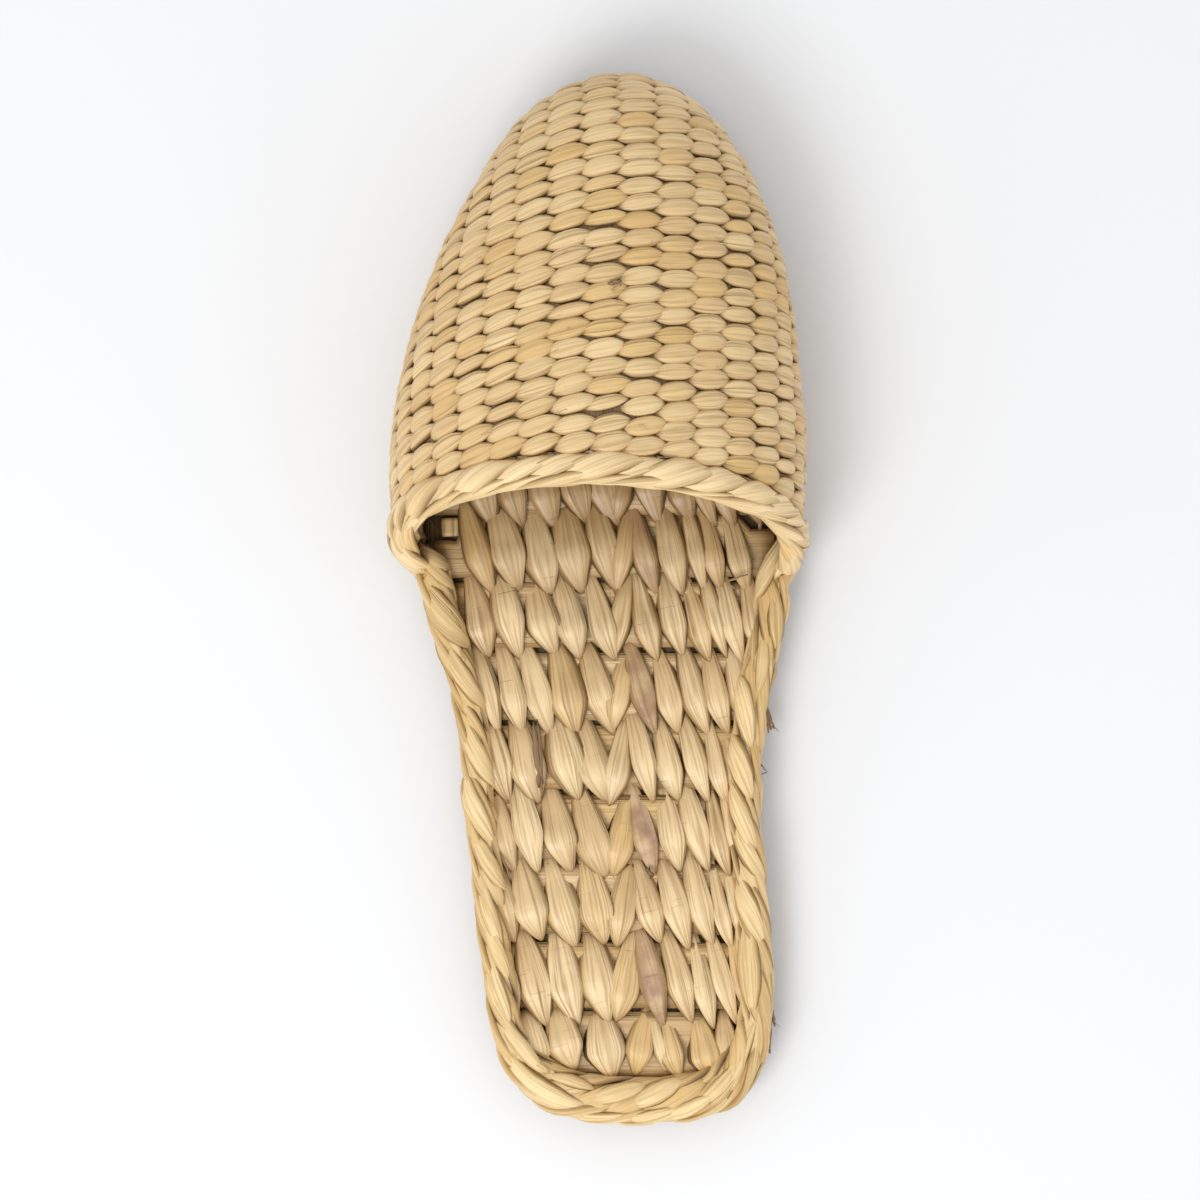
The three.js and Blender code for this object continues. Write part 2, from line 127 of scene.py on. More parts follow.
class Wire:
    """A value in a material's nodes. Sums on it add Math nodes."""

    def __init__(self, finish, socket):
        self.finish, self.socket = finish, socket

    def _sum(self, operation, other):
        return self.finish.node("Math", {"operation": operation}, {0: self, 1: other})

    def __add__(self, other):
        return self._sum("ADD", other)

    __radd__ = __add__

    def __sub__(self, other):
        return self._sum("SUBTRACT", other)

    def __mul__(self, other):
        return self._sum("MULTIPLY", other)

    def clamped(self):
        return self.finish.node("Clamp", {}, {"Value": self})


class Finish:
    """A material made of one Principled shader, whose fixed numbers are given when it is made."""

    def __init__(self, name, **fixed):
        self.material = bpy.data.materials.new(name)
        self.material.use_nodes = True
        self.tree = self.material.node_tree
        self.shader = self.tree.nodes["Principled BSDF"]
        for socket, value in fixed.items():
            self.shader.inputs[socket.replace("_", " ")].default_value = value

    def feed(self, socket, value):
        if isinstance(value, Wire):
            self.tree.links.new(value.socket, socket)
        else:
            socket.default_value = value

    def node(self, kind, settings, inputs, output=0):
        """Adds a node: its settings first, then the value or wire of each named socket."""
        made = self.tree.nodes.new("ShaderNode" + kind)
        for key, value in settings.items():
            setattr(made, key, value)
        for key, value in inputs.items():
            self.feed(made.inputs[key], value)
        return Wire(self, made.outputs[output])

    def blend(self, factor, first, second):
        """Two colours mixed by a factor."""
        return self.node("Mix", {"data_type": "RGBA"}, {0: factor, 6: first, 7: second}, output=2)

    def end(self, colour, roughness, height, distance):
        """Joins colour, roughness and a bump of the given height to the shader."""
        bump = self.node("Bump", {}, {"Strength": 0.9, "Distance": distance, "Height": height})
        self.feed(self.shader.inputs["Base Color"], colour)
        self.feed(self.shader.inputs["Roughness"], roughness)
        self.feed(self.shader.inputs["Normal"], bump)
        return self.material


def rgb(red, green, blue):
    """An opaque colour."""
    return (red, green, blue, 1)


def leaf_finish(name, pale, deep, warm, edge, stain_and_shade, gloss=0.2, fibre_height=0.0005, creases=0.5,
                wrinkles=0.1):
    """Dried leaf: fine fibres and a few creases along each strand, wrinkles across it, a tone and a hue
    of its own for each strand, and painted shade, golden at the sides and dark brown in the deepest
    places and at the tips, which stands for the shade and some dust that gather there."""
    f = Finish(name, Coat_Roughness=0.28, Coat_Weight=gloss, Specular_IOR_Level=0.5)
    along = f.node("UVMap", {"uv_map": "leaf"}, {})
    straw = f.node("Attribute", {"attribute_name": "straw"}, {})
    mauve = f.node("Attribute", {"attribute_name": "straw"}, {}, output=3)
    mauve_brown = rgb(0.37, 0.2, 0.12)
    tone, hue, shade = (f.node("SeparateColor", {}, {0: straw}, output=part) for part in range(3))

    def fibres(lengthwise, crosswise, detail):
        stretched = f.node("Mapping", {}, {"Vector": along, "Scale": (lengthwise, crosswise, 1)})
        return f.node("TexNoise", {}, {"Vector": stretched, "Scale": 1, "Detail": detail})

    fine = fibres(60, 2300, 3)
    broad = fibres(26, 560, 2)
    crease = ((fibres(14, 1300, 1) - 0.6) * 9).clamped() * creases
    wrinkle = ((fibres(1300, 110, 2) - 0.68) * 9).clamped() * wrinkles
    place = f.node("TexCoord", {}, {}, output=3)
    mottle = f.node("TexNoise", {}, {"Vector": place, "Scale": 140, "Detail": 3})
    colour = f.blend((tone * 0.9 + broad * 0.8 - 0.35).clamped(), deep, pale)
    colour = f.blend(hue, colour, warm)
    colour = f.blend((mauve * (mottle * 2.6 - 0.6)).clamped(), colour, mauve_brown)
    colour = f.blend(((fine - 0.47) * 7).clamped() * 0.5, colour, edge)
    colour = f.blend(((broad - 0.55) * 6 * mottle).clamped() * 0.8, colour, edge)
    # Painted shade: the shade value turns the sides and tips golden brown, and the deepest places,
    # under strands and at their tips, dark brown; brown straw uses the same darkening.
    colour = f.blend((shade * 2 * (0.6 + fine * 0.8)).clamped(), colour, edge)
    colour = f.blend((crease * mottle * 1.8).clamped(), colour, edge)
    colour = f.blend((shade * 2.2 - 1.1 + (mottle - 0.5) * 0.8).clamped(), colour, stain_and_shade)
    colour = f.blend(crease * mottle * 0.35, colour, stain_and_shade)
    colour = f.blend(wrinkle * 0.5, colour, edge)
    roughness = (0.4 + fine * 0.22 + mottle * 0.14).clamped()
    return f.end(colour, roughness, fine * 0.5 + broad - crease * 0.5 - wrinkle, fibre_height)


def placed(name, data):
    """A new object in the scene."""
    made = bpy.data.objects.new(name, data)
    bpy.context.scene.collection.objects.link(made)
    return made


def add_piece(name, points, faces, leaf, straw, material, slot, *nodes):
    """A mesh from arrays: points, groups of faces with equal numbers of corners, a leaf map per corner
    and a straw colour per point. It rides on the one body and stands for the named nodes."""
    corners = np.concatenate([group.ravel() for group in faces])
    sizes = np.concatenate([np.full(len(group), group.shape[1]) for group in faces])
    mesh = bpy.data.meshes.new(name)
    mesh.vertices.add(len(points))
    mesh.vertices.foreach_set("co", (points + heel_place).astype(np.float32).ravel())
    mesh.loops.add(len(corners))
    mesh.loops.foreach_set("vertex_index", corners.astype(np.int32))
    mesh.polygons.add(len(sizes))
    mesh.polygons.foreach_set("loop_start", (np.cumsum(sizes) - sizes).astype(np.int32))
    mesh.polygons.foreach_set("use_smooth", np.ones(len(sizes), dtype=bool))
    mesh.update(calc_edges=True)
    mesh.uv_layers.new(name="leaf").data.foreach_set("uv", leaf.astype(np.float32).ravel())
    tint = mesh.attributes.new("straw", "FLOAT_COLOR", "POINT")
    tint.data.foreach_set("color", straw.astype(np.float32).ravel())
    mesh.materials.append(material)
    piece = placed(name, mesh)
    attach(piece, "root")
    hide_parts(*nodes)


def tube(ring):
    """Faces between rows of point numbers, each of which goes round and closes on itself."""
    turned = np.roll(ring, -1, axis=-1)
    sides = (ring[..., :-1, :], turned[..., :-1, :], turned[..., 1:, :], ring[..., 1:, :])
    return np.stack(sides, axis=-1).reshape(-1, 4)


upwards = np.array([0.0, 0.0, 1.0])


def strands(centre, up, half_width, half_height, rng, sides=10, folds=0.05, hues=0.2, mauve=0,
            dull=0, paler=0, square=False):
    """Many strands as one set of arrays. A ring point is its centre, plus across times half width times
    the cosine of its angle, plus up times half height times the sine, both to a power below one, which
    squares the section, and flatter below than above. Folds run along the strand: a cosine of a few
    times the angle on the ring's reach. With square, up is first made square to the strand. The straw
    colour is a tone and a hue drawn for the strand, a painted shade that gathers below and at both tips
    and that also darkens brown straw, and mauve; paler adds to the tone and dull to the shade, and hues
    is the chance of a hue."""
    count, steps = centre.shape[:2]
    forward = unit(np.gradient(centre, axis=1))
    across = unit(np.cross(up, forward))
    if square:
        up = unit(np.cross(forward, across))
    up = np.broadcast_to(up, centre.shape)
    half_width = np.broadcast_to(half_width, (count, steps))
    half_height = np.broadcast_to(half_height, (count, steps))
    angle = 2 * np.pi * (np.arange(sides) + 0.5) / sides
    cosine = np.sign(np.cos(angle)) * np.abs(np.cos(angle)) ** 0.75
    sine = np.sign(np.sin(angle)) * np.abs(np.sin(angle)) ** 0.6
    waves = rng.integers(4, 8, (count, 1, 1))
    reach = 1 + folds * np.cos(waves * angle + rng.uniform(0, 2 * np.pi, (count, 1, 1)))
    wide = (half_width[..., None] * reach * cosine)[..., None]
    high = (half_height[..., None] * reach * np.where(sine < 0, 0.6 * sine, sine))[..., None]
    points = centre[:, :, None] + across[:, :, None] * wide + up[:, :, None] * high

    ring = np.arange(count * steps * sides).reshape(count, steps, sides)
    caps = np.concatenate([ring[:, 0, ::-1], ring[:, -1]])

    # The leaf map is in metres along and round the strand. Each strand starts elsewhere in its pattern.
    pattern_reach = 9
    run = run_along(centre) + rng.uniform(0, pattern_reach, (count, 1))
    girth = (4 * half_width.max(axis=1) / sides)[:, None, None]
    turn = np.arange(sides)
    near, far = run[:, :-1, None], run[:, 1:, None]
    here, there = turn * girth, (turn + 1) * girth
    quad_leaf = np.stack(np.broadcast_arrays(near, here, near, there, far, there, far, here), axis=-1)
    cap_run = np.concatenate([run[:, :1], run[:, -1:]])
    cap_turn = turn * np.tile(girth[:, 0], (2, 1))
    cap_leaf = np.stack(np.broadcast_arrays(cap_run, cap_turn), axis=-1)
    leaf = np.concatenate([quad_leaf.reshape(-1, 2), cap_leaf.reshape(-1, 2)])

    hues, mauve, dull, paler = (np.atleast_2d(a)[..., None] for a in (hues, mauve, dull, paler))
    tone = rng.beta(2.2, 2.0, (count, 1, 1)) + paler
    hued = rng.random((count, 1, 1)) < hues
    hue = np.where(hued, rng.uniform(0.2, 0.7, (count, 1, 1)), 0)
    t = np.linspace(-1, 1, steps)[:, None]
    # Painted shade: darker below the strand's middle and towards both tips; dull adds to it, which also
    # colours brown straw.
    shade = np.clip(0.95 - 1.5 * np.sin(angle), 0, 0.95) + 0.5 * t**6 + dull
    parts = np.broadcast_arrays(tone, hue, shade, mauve, ring)[:4]
    straw = np.stack(parts, axis=-1).reshape(-1, 4)
    return points.reshape(-1, 3), [tube(ring), caps], leaf, straw


def joined(*sets):
    """Several sets of arrays from strands as one set."""
    points, faces, leaf, straw = zip(*sets)
    starts = np.cumsum([0] + [len(some) for some in points])
    cuts = [quads.size for quads, _ in faces]
    return (
        np.concatenate(points),
        [np.concatenate([pair[k] + start for pair, start in zip(faces, starts)]) for k in (0, 1)],
        np.concatenate([some[:cut] for some, cut in zip(leaf, cuts)]
                       + [some[cut:] for some, cut in zip(leaf, cuts)]),
        np.concatenate(straw),
    )


def slab(inset, low, high):
    """A closed mat between two heights inside an inset edge. Both its faces are strips from the left
    edge to the right, so that they bend with the toe."""
    flat = outline(inset)
    rise = spring(flat[:, 1])
    points = np.concatenate([np.column_stack([flat, height + rise]) for height in (low, high)])
    count = len(flat)
    walls = tube(np.arange(2 * count).reshape(2, count))
    half = count // 2
    right = np.arange(1, half)
    left = count - right
    strip = np.stack([right[:-1], right[1:], left[1:], left[:-1]], axis=-1)
    tips = np.array([[0, 1, count - 1], [half - 1, half, half + 1]])
    quads = np.concatenate([walls, strip + count, strip[:, ::-1]])
    triangles = np.concatenate([tips + count, tips[:, ::-1]])
    corners = np.concatenate([quads.ravel(), triangles.ravel()])
    leaf = points[corners][:, [1, 0]]
    straw = np.tile([0.3, 0.0, 0.3, 0.0], (len(points), 1))
    return points, [quads, triangles], leaf, straw


def drawing(rng, count):
    """A draw between two bounds for each of so many strands."""
    return lambda low, high: rng.uniform(low, high, (count, 1))


def read_at(distance, run, values):
    """Each column of values, read at distances between those of the run."""
    return np.stack([np.interp(distance, run, column) for column in values.T], axis=-1)


def plait(course, core, every, length, turn, half_width, half_height, rng, steps=18, sides=10,
          wander=0.06, blunt=2.5, tail=0.35, paler=0, dull=0):
    """Strands laid round a core along a course, which is a path and its ways toward and out. Each one
    starts every so far along and, over its own length, moves round the core from turn[0] to turn[1], in
    degrees from toward to out. Its width swells as one minus a power of the distance from its middle,
    and its ends dip into the core, whose half width may be given for each distance from the heel."""
    run = run_along(course[0])
    starts = np.arange(-length * tail, run[-1] - length * (1 - tail), every)
    starts = starts + rng.uniform(-wander, wander, len(starts)) * every
    t = np.linspace(-1, 1, steps)
    draw = drawing(rng, len(starts))
    longer = 1 + draw(-wander, wander)
    distance = np.clip(starts[:, None] + length * longer * (t + 1) / 2, 0, run[-1])
    place, toward, out = (read_at(distance, run, values) for values in course)
    toward, out = unit(toward), unit(out)
    psi = np.radians(turn[0] + (turn[1] - turn[0]) * (t + 1) / 2)
    psi = (psi + draw(-wander, wander))[..., None]
    core_wide, core_high = core
    if callable(core_wide):
        core_wide = core_wide(place[..., 1:2])
    up = unit(toward * np.cos(psi) / core_wide + out * np.sin(psi) / core_high)
    centre = place + toward * core_wide * np.cos(psi) + out * core_high * np.sin(psi)
    centre = centre - up * (1.6 * half_height * np.abs(t) ** 3)[:, None]
    swell = 0.12 + 0.88 * (1 - np.abs(t) ** blunt)
    size = draw(1 - 2 * wander, 1 + 2 * wander)
    return strands(centre, up, half_width * swell * size, half_height * swell**0.5 * size, rng,
                   sides=sides, paler=paler, dull=dull)


def flat_course(path):
    """A path with its ways inwards and upwards."""
    up = np.broadcast_to(upwards, path.shape)
    return path, unit(np.cross(up, unit(np.gradient(path, axis=0)))), up


def edge_course(inset, height):
    """The whole edge as an open course from heel to heel."""
    flat = outline(inset)
    flat = np.vstack([flat, flat[:1]])
    return flat_course(np.column_stack([flat, height + spring(flat[:, 1])]))


outsole_rng = np.random.default_rng(11)
coarse_straw = leaf_finish(
    "coarse brown straw", pale=rgb(0.5, 0.33, 0.16), deep=rgb(0.3, 0.18, 0.08),
    warm=rgb(0.42, 0.24, 0.09), edge=rgb(0.22, 0.12, 0.05), stain_and_shade=rgb(0.08, 0.045, 0.02), gloss=0.05,
    fibre_height=0.0006)
mat_inset, mat_low, mat_high = 0.0016, 0.0009, outsole_thickness - 0.0002
add_piece("outsole_mat", *slab(mat_inset, mat_low, mat_high), coarse_straw, "coarse_straw", "outsole")

rope_radius, rope_inset = outsole_thickness / 4, 0.0019
edge_ropes = []
for height in (rope_radius, 3 * rope_radius):
    for ply in (0, 180):
        edge_ropes.append(plait(
            edge_course(rope_inset, height), core=(0.0008, 0.0006), every=0.011, length=0.0115,
            turn=(270 + ply, -90 + ply), half_width=0.0013, half_height=0.0009, rng=outsole_rng,
            steps=12, sides=8, tail=0))
add_piece("outsole_edge_ropes", *joined(*edge_ropes), coarse_straw, "coarse_straw", "outsole")

under_row_pitch, under_stitch_pitch = 0.0062, 0.0125
under_heel_room, under_toe_room, under_side_room = 0.008, 0.006, 0.003
under_height, under_lean, under_dip = 0.0013, 0.0009, 0.0012
under_half_width, under_half_height, under_half_length = 0.0032, 0.0011, 0.56
under_rows = []
for row, y in enumerate(np.arange(under_heel_room, shoe_length - under_toe_room, under_row_pitch)):
    left, right = sides(under_side_room, y)
    count = max(1, round((right - left) / under_stitch_pitch))
    pitch = (right - left) / count
    middle = left + pitch * (np.arange(count) + 0.5)
    t = np.linspace(-1, 1, 9)
    x = np.clip(middle[:, None] + t * pitch * under_half_length, left, right)
    lean = (-1) ** row * under_lean * t
    dip = under_dip * np.abs(t) ** 3
    y_line = y + lean + drawing(outsole_rng, count)(-0.0002, 0.0002)
    centre = np.stack([x, y_line, under_height + dip + spring(y_line)], axis=-1)
    wide = under_half_width * (0.25 + 0.75 * (1 - np.abs(t) ** 2.6))
    under_rows.append(strands(centre, -upwards, wide, under_half_height, outsole_rng, sides=8))
add_piece("outsole_underside", *joined(*under_rows), coarse_straw, "coarse_straw", "outsole")


# Footbed: flat ribs of leaf across the foot, bound by straws that run lengthwise in columns. Each straw
# stands up over a rib as a long spindle and dives between two ribs. The mat is sewn onto the outsole.
footbed_thickness = 0.0036
rib_half_width = 0.0089
binding_width, binding_heel_width, heel_turn = 0.0076, 0.0116, 0.026
border_width = 0.0082
throat_foot = 0.1485
upper_set_in, upper_wall, footbed_clearance = 0.0008, 0.003, 0.0012
# Rows of straws from under the upper to the heel, in mm: distance of the straws' middles from the heel,
# their length, then each straw's distance from the foot's middle line.
straw_rows = [
    (236.5, 21, (-17, -10, -3.5, 2.5, 8, 14, 21)),
    (218.5, 21, (-26, -18, -11, -4, 2, 8, 15, 22, 29, 35)),
    (200.5, 22, (-38, -30, -22, -14, -6.5, -0.5, 5, 12, 19, 26, 33, 39)),
    (182.5, 22, (-37, -29.5, -22, -14, -6.5, -0.5, 5, 12, 19, 26, 33, 39)),
    (165.2, 22.5, (-31.3, -23.8, -15.4, -7.8, 0.1, 6, 12.4, 20.2, 25.4, 30.7, 37.2)),
    (148.4, 23, (-32.6, -25.1, -16.1, -7.9, 0.1, 6, 10.6, 18, 24.2, 28.4, 34.6)),
    (130.6, 22, (-31.5, -24.3, -15.9, -8.3, -0.1, 5.4, 11.1, 18.1, 24.2, 28.8, 33.2)),
    (112, 22.5, (-29.5, -23.6, -16.9, -9.2, -0.9, 5.2, 10.4, 17, 23.6, 29.6)),
    (93.8, 22.5, (-27.5, -19.4, -9.3, -2.7, 5.1, 10.4, 17, 24.2, 29.6)),
    (75.5, 22.5, (-26, -19.2, -11.5, -3, 5.6, 10.7, 18.1, 24.2, 30)),
    (57, 22.5, (-26.6, -19, -10.5, -1.8, 5.8, 11.7, 18.9, 25.1, 30.5)),
    (37.2, 23, (-25.8, -17.7, -9.2, -0.7, 6.8, 13, 19.6, 26, 31)),
    (19.5, 15, (-17.9, -9.6, 1, 10.4, 14.6, 17.6, 26.5)),
]
# In each row, the straw that leans the other way.
turned_straws = (3, 4, 5, 5, 5, 5, 5, 5, 4, 4, 4, 4, 3)
# Row and straw of those that dried to a mauve brown, and of the widest ones.
mauve_straws = {(5, 6), (7, 6), (9, 5), (11, 5), (2, 3)}
wide_straws = {(4, 4), (5, 3), (8, 3), (10, 3), (12, 2), (11, 3), (7, 3)}


def smooth_step(x, low, high):
    """Nought below low, one above high, and a smooth cubic between."""
    share = np.clip((x - low) / (high - low), 0, 1)
    return share * share * (3 - 2 * share)


def binding_width_at(y):
    """The binding is broader round the heel."""
    share = smooth_step(y, binding_heel_width / 2, heel_turn)
    return binding_heel_width + (binding_width - binding_heel_width) * share


def footbed_inset(y):
    """Room that the footbed leaves to the sole's edge: beside the binding, or inside the upper."""
    beside_binding = binding_width_at(y) + 2 * seat_gap
    inside_upper = upper_set_in + upper_wall + footbed_clearance
    share = smooth_step(y, throat_foot, throat_foot + border_width)
    return beside_binding + (inside_upper - beside_binding) * share


footbed_rng = np.random.default_rng(23)
footbed_base = outsole_thickness + seat_gap
rib_top = footbed_base + footbed_thickness
straw_finish = leaf_finish(
    "spindle straw", pale=rgb(0.84, 0.62, 0.33), deep=rgb(0.6, 0.39, 0.17),
    warm=rgb(0.68, 0.42, 0.14), edge=rgb(0.38, 0.215, 0.07), stain_and_shade=rgb(0.13, 0.07, 0.025),
    gloss=0.55, creases=0.7, wrinkles=0.35)
# Nearly black straw, a painted shade: it fills places that would show only as dark gaps.
dark_straw = leaf_finish(
    "shaded straw", pale=rgb(0.17, 0.095, 0.042), deep=rgb(0.08, 0.045, 0.02),
    warm=rgb(0.16, 0.09, 0.04), edge=rgb(0.08, 0.05, 0.02), stain_and_shade=rgb(0.03, 0.02, 0.01), gloss=0.0,
    fibre_height=0.0004)
footbed_edge = footbed_inset(sole_edge[:, 1])
# The backing below the ribs is painted shade: it shows as the dark holes between the straws and beside
# the throat's rib.
backing_top = rib_top - 0.0022
add_piece("footbed_backing", *slab(footbed_edge, footbed_base, backing_top), dark_straw,
          "footbed_straw", "footbed")

# The throat's rib narrows at both ends. In the two holes beside it, ends of the layer below show: the
# middle of each, its lean, half length and half width in metres, and how brown it is.
throat_rib = 148.4
rib_ends = [
    (-0.0387, 0.1538, 0.0001, 0.0024, 0.0023, -0.3),
    (0.0448, 0.1563, 0.0011, 0.0032, 0.0015, 0.1),
    (0.0415, 0.1578, 0.0001, 0.0046, 0.0006, 0.5),
]
rib_half_height, rib_depth, rib_wave = 0.0009, 0.0016, 0.0004
rib_end_half_height, rib_end_depth = 0.0008, 0.0013
rib_shift, reach_under_binding = 0.0006, 0.0025
ribs = []
for row_middle, _, _ in straw_rows:
    y = row_middle / 1000 + rib_shift
    left, right = sides(footbed_edge - 0.002, y + rib_half_width * np.array([-0.9, 0.9]))
    if y < throat_foot + border_width:
        left, right = left - reach_under_binding, right + reach_under_binding
    x = np.linspace(left.max(), right.min(), 24)
    wave = rib_wave * np.sin(x * 160 + y * 900)
    narrow = 0.0035 * smooth_step(-x, 0.031, 0.035) + 0.002 * smooth_step(x, 0.034, 0.038)
    narrow = narrow * (row_middle == throat_rib)
    centre = np.stack([x, y - narrow, rib_top - rib_depth + wave + spring(y)], axis=-1)[None]
    wide = (rib_half_width - narrow) * footbed_rng.uniform(0.95, 1.05)
    ribs.append(strands(centre, upwards, wide, rib_half_height, footbed_rng, folds=0.03))
for x, y, lean, half_length, half_width, brown in rib_ends:
    t = np.linspace(-1, 1, 6)
    z = np.full(len(t), rib_top - rib_end_depth)
    centre = np.stack([x + lean * t, y - half_length * t, z], axis=-1)[None]
    ribs.append(strands(centre, upwards, half_width, rib_end_half_height, footbed_rng, dull=brown,
                        paler=-0.1))
add_piece("footbed_ribs", *joined(*ribs), straw_finish, "footbed_straw", "footbed")


def footbed_straws():
    """Spindles: t runs from a straw's top to its tip. Its place moves down the row and sideways by its
    lean, its width grows to a shoulder past the middle and tapers quickly to a blunt tip, and its
    height follows the rib, with a slow rise and a steep fall. Its top is painted darker, as shade under
    the row before and some brown stain, and its shoulder paler, as a painted highlight. Rows under the
    upper get painted shade, and rows near the heel painted light."""
    charted = []
    for row, (row_middle, long, places) in enumerate(straw_rows):
        if row > 5:
            # Behind the throat, one more straw shows along the right side of the binding.
            edge = sides(footbed_edge, row_middle / 1000)[1] + heel_place[0]
            places = places + (edge * 1000 + 0.3,)
        # Painted shade: the rows under and beside the upper, which shades them, are darker, and the
        # rows towards the heel a little lighter.
        dull = 0.36 * (row < 4) + 0.32 * (row == 4) + 0.16 * (row == 5) - 0.08 * (row > 8)
        for number, x in enumerate(places):
            turned = number == turned_straws[row]
            beside = [abs(x - other) for k, other in enumerate(places) if abs(k - number) == 1]
            wide = 0.53 * sum(beside) / len(beside) + 0.35 * ((row, number) in wide_straws)
            charted.append((x, row_middle, long, wide, -4.2 if turned else 6.0,
                            (row, number) in mauve_straws, dull, 0.15 + 0.7 * turned))
    charted = np.array(charted, dtype=float)
    x, y, long, wide, lean, mauve, dull, golden = (column[:, None] for column in charted.T)
    x, y, long, wide, lean = x / 1000 - heel_place[0], y / 1000, long / 1000, wide / 1000, lean / 1000
    draw = drawing(footbed_rng, len(x))
    t = np.linspace(-1, 1, 26)
    share = (t + 1) / 2
    long = long * draw(0.94, 1.06)
    wide = wide * draw(0.93, 1.09)
    lean = lean * draw(0.8, 1.2) * long / 0.0225
    y_line = y + 0.0012 + draw(-0.001, 0.001) - t * (long + 0.0028) / 2
    x_line = x + lean * (0.5 * t + 0.1 * t**3) + draw(-0.0005, 0.0005) * t**2
    warped = share ** draw(0.85, 1.25)
    hump = np.interp(warped, (0, 0.12, 0.3, 0.52, 0.66, 0.8, 0.92, 0.97, 1),
                     (0.35, 0.53, 0.77, 0.98, 1.03, 0.72, 0.4, 0.27, 0.1))
    hump[:, 1:-1] = (hump[:, 1:-1] * 2 + hump[:, :-2] + hump[:, 2:]) / 4
    lift = np.interp(warped, (0, 0.12, 0.25, 0.4, 0.6, 0.69, 0.88, 1),
                     (-0.0028, -0.0019, -0.0013, -0.0003, 0.0006, 0.0007, -0.0004, -0.0012))
    lift = lift * draw(0.9, 1.1) + draw(-0.0002, 0.0002)
    dents = np.sin(share * draw(9, 17) + draw(0, 2 * np.pi))
    lift = lift + 0.00016 * dents * np.sin(np.pi * share)
    centre = np.stack([x_line, y_line, rib_top + lift + spring(y_line)], axis=-1)
    height = 0.0013 * (0.4 + 0.6 * hump)
    # Painted shade on the top, under the tips of the row before, with some brown stain; then a painted
    # highlight on the shoulder, darker painted shade over the top half, and painted light on the rows
    # behind the throat and nearer the heel.
    top_shade = 0.4 * np.clip(1 - share / 0.36, 0, 1) * draw(0.5, 1.1)
    painted_light = 0.6 * np.exp(-((warped - 0.7) / 0.15) ** 2) - 0.3 * np.clip(1 - share / 0.5, 0, 1)
    painted_light = painted_light + 0.12 * (y < 0.14) + 0.12 * (y < 0.045)
    return strands(centre, upwards, wide * hump, height, footbed_rng, sides=16, folds=0.14,
                   hues=golden, mauve=mauve, dull=dull + top_shade, paler=painted_light, square=True)


add_piece("footbed_straws", *footbed_straws(), straw_finish, "footbed_straw", "footbed")


# Binding: leaf strands plaited along the sole's edge, from one foot of the throat round the heel to the
# other, over the ends of the ribs. Long strands cross from the outer side to the inner one.
binding_height = 0.008
throat_lean = np.radians(23)
border_foot = throat_foot - (border_width / 2 + seat_gap) / np.cos(throat_lean)
binding_end = border_foot - border_width / 2 - seat_gap
binding_middle = outsole_thickness + seat_gap + binding_height / 2
core_room_beside, core_room_above = 0.0016, 0.0013


def binding_course():
    """The middle of the binding, from its left end to its right one: the sole's edge moved inwards by
    half the binding's width."""
    flat = outline(binding_width_at(sole_edge[:, 1]) / 2)
    flat = np.vstack([flat[toe_tip:], flat[:toe_tip]])
    flat = flat[flat[:, 1] < binding_end + 0.004]
    return flat_course(np.column_stack([flat, np.full(len(flat), binding_middle)]))


def core_strand(course, half_width, half_height, rng):
    """One plain body along a course, which backs the strands laid over it."""
    path, _, out = course
    points, faces, leaf, straw = strands(path[None], out[None], half_width, half_height, rng, folds=0)
    # Half the painted shade: the core stands for the dark gaps between the strands laid over it.
    straw[:, 2] = 0.5
    return points, faces, leaf, straw


binding_rng = np.random.default_rng(37)
plait_finish = leaf_finish(
    "plaited leaf", pale=rgb(0.9, 0.67, 0.345), deep=rgb(0.68, 0.45, 0.18),
    warm=rgb(0.72, 0.45, 0.15), edge=rgb(0.48, 0.29, 0.1), stain_and_shade=rgb(0.16, 0.09, 0.03))
rim_course = binding_course()
rim, rim_inward, _ = rim_course
rim_core = core_strand(
    rim_course, binding_width_at(rim[:, 1]) / 2 - core_room_beside,
    binding_height / 2 - core_room_above, binding_rng)
add_piece("sole_binding_core", *rim_core, plait_finish, "plaited_straw", "sole_binding")


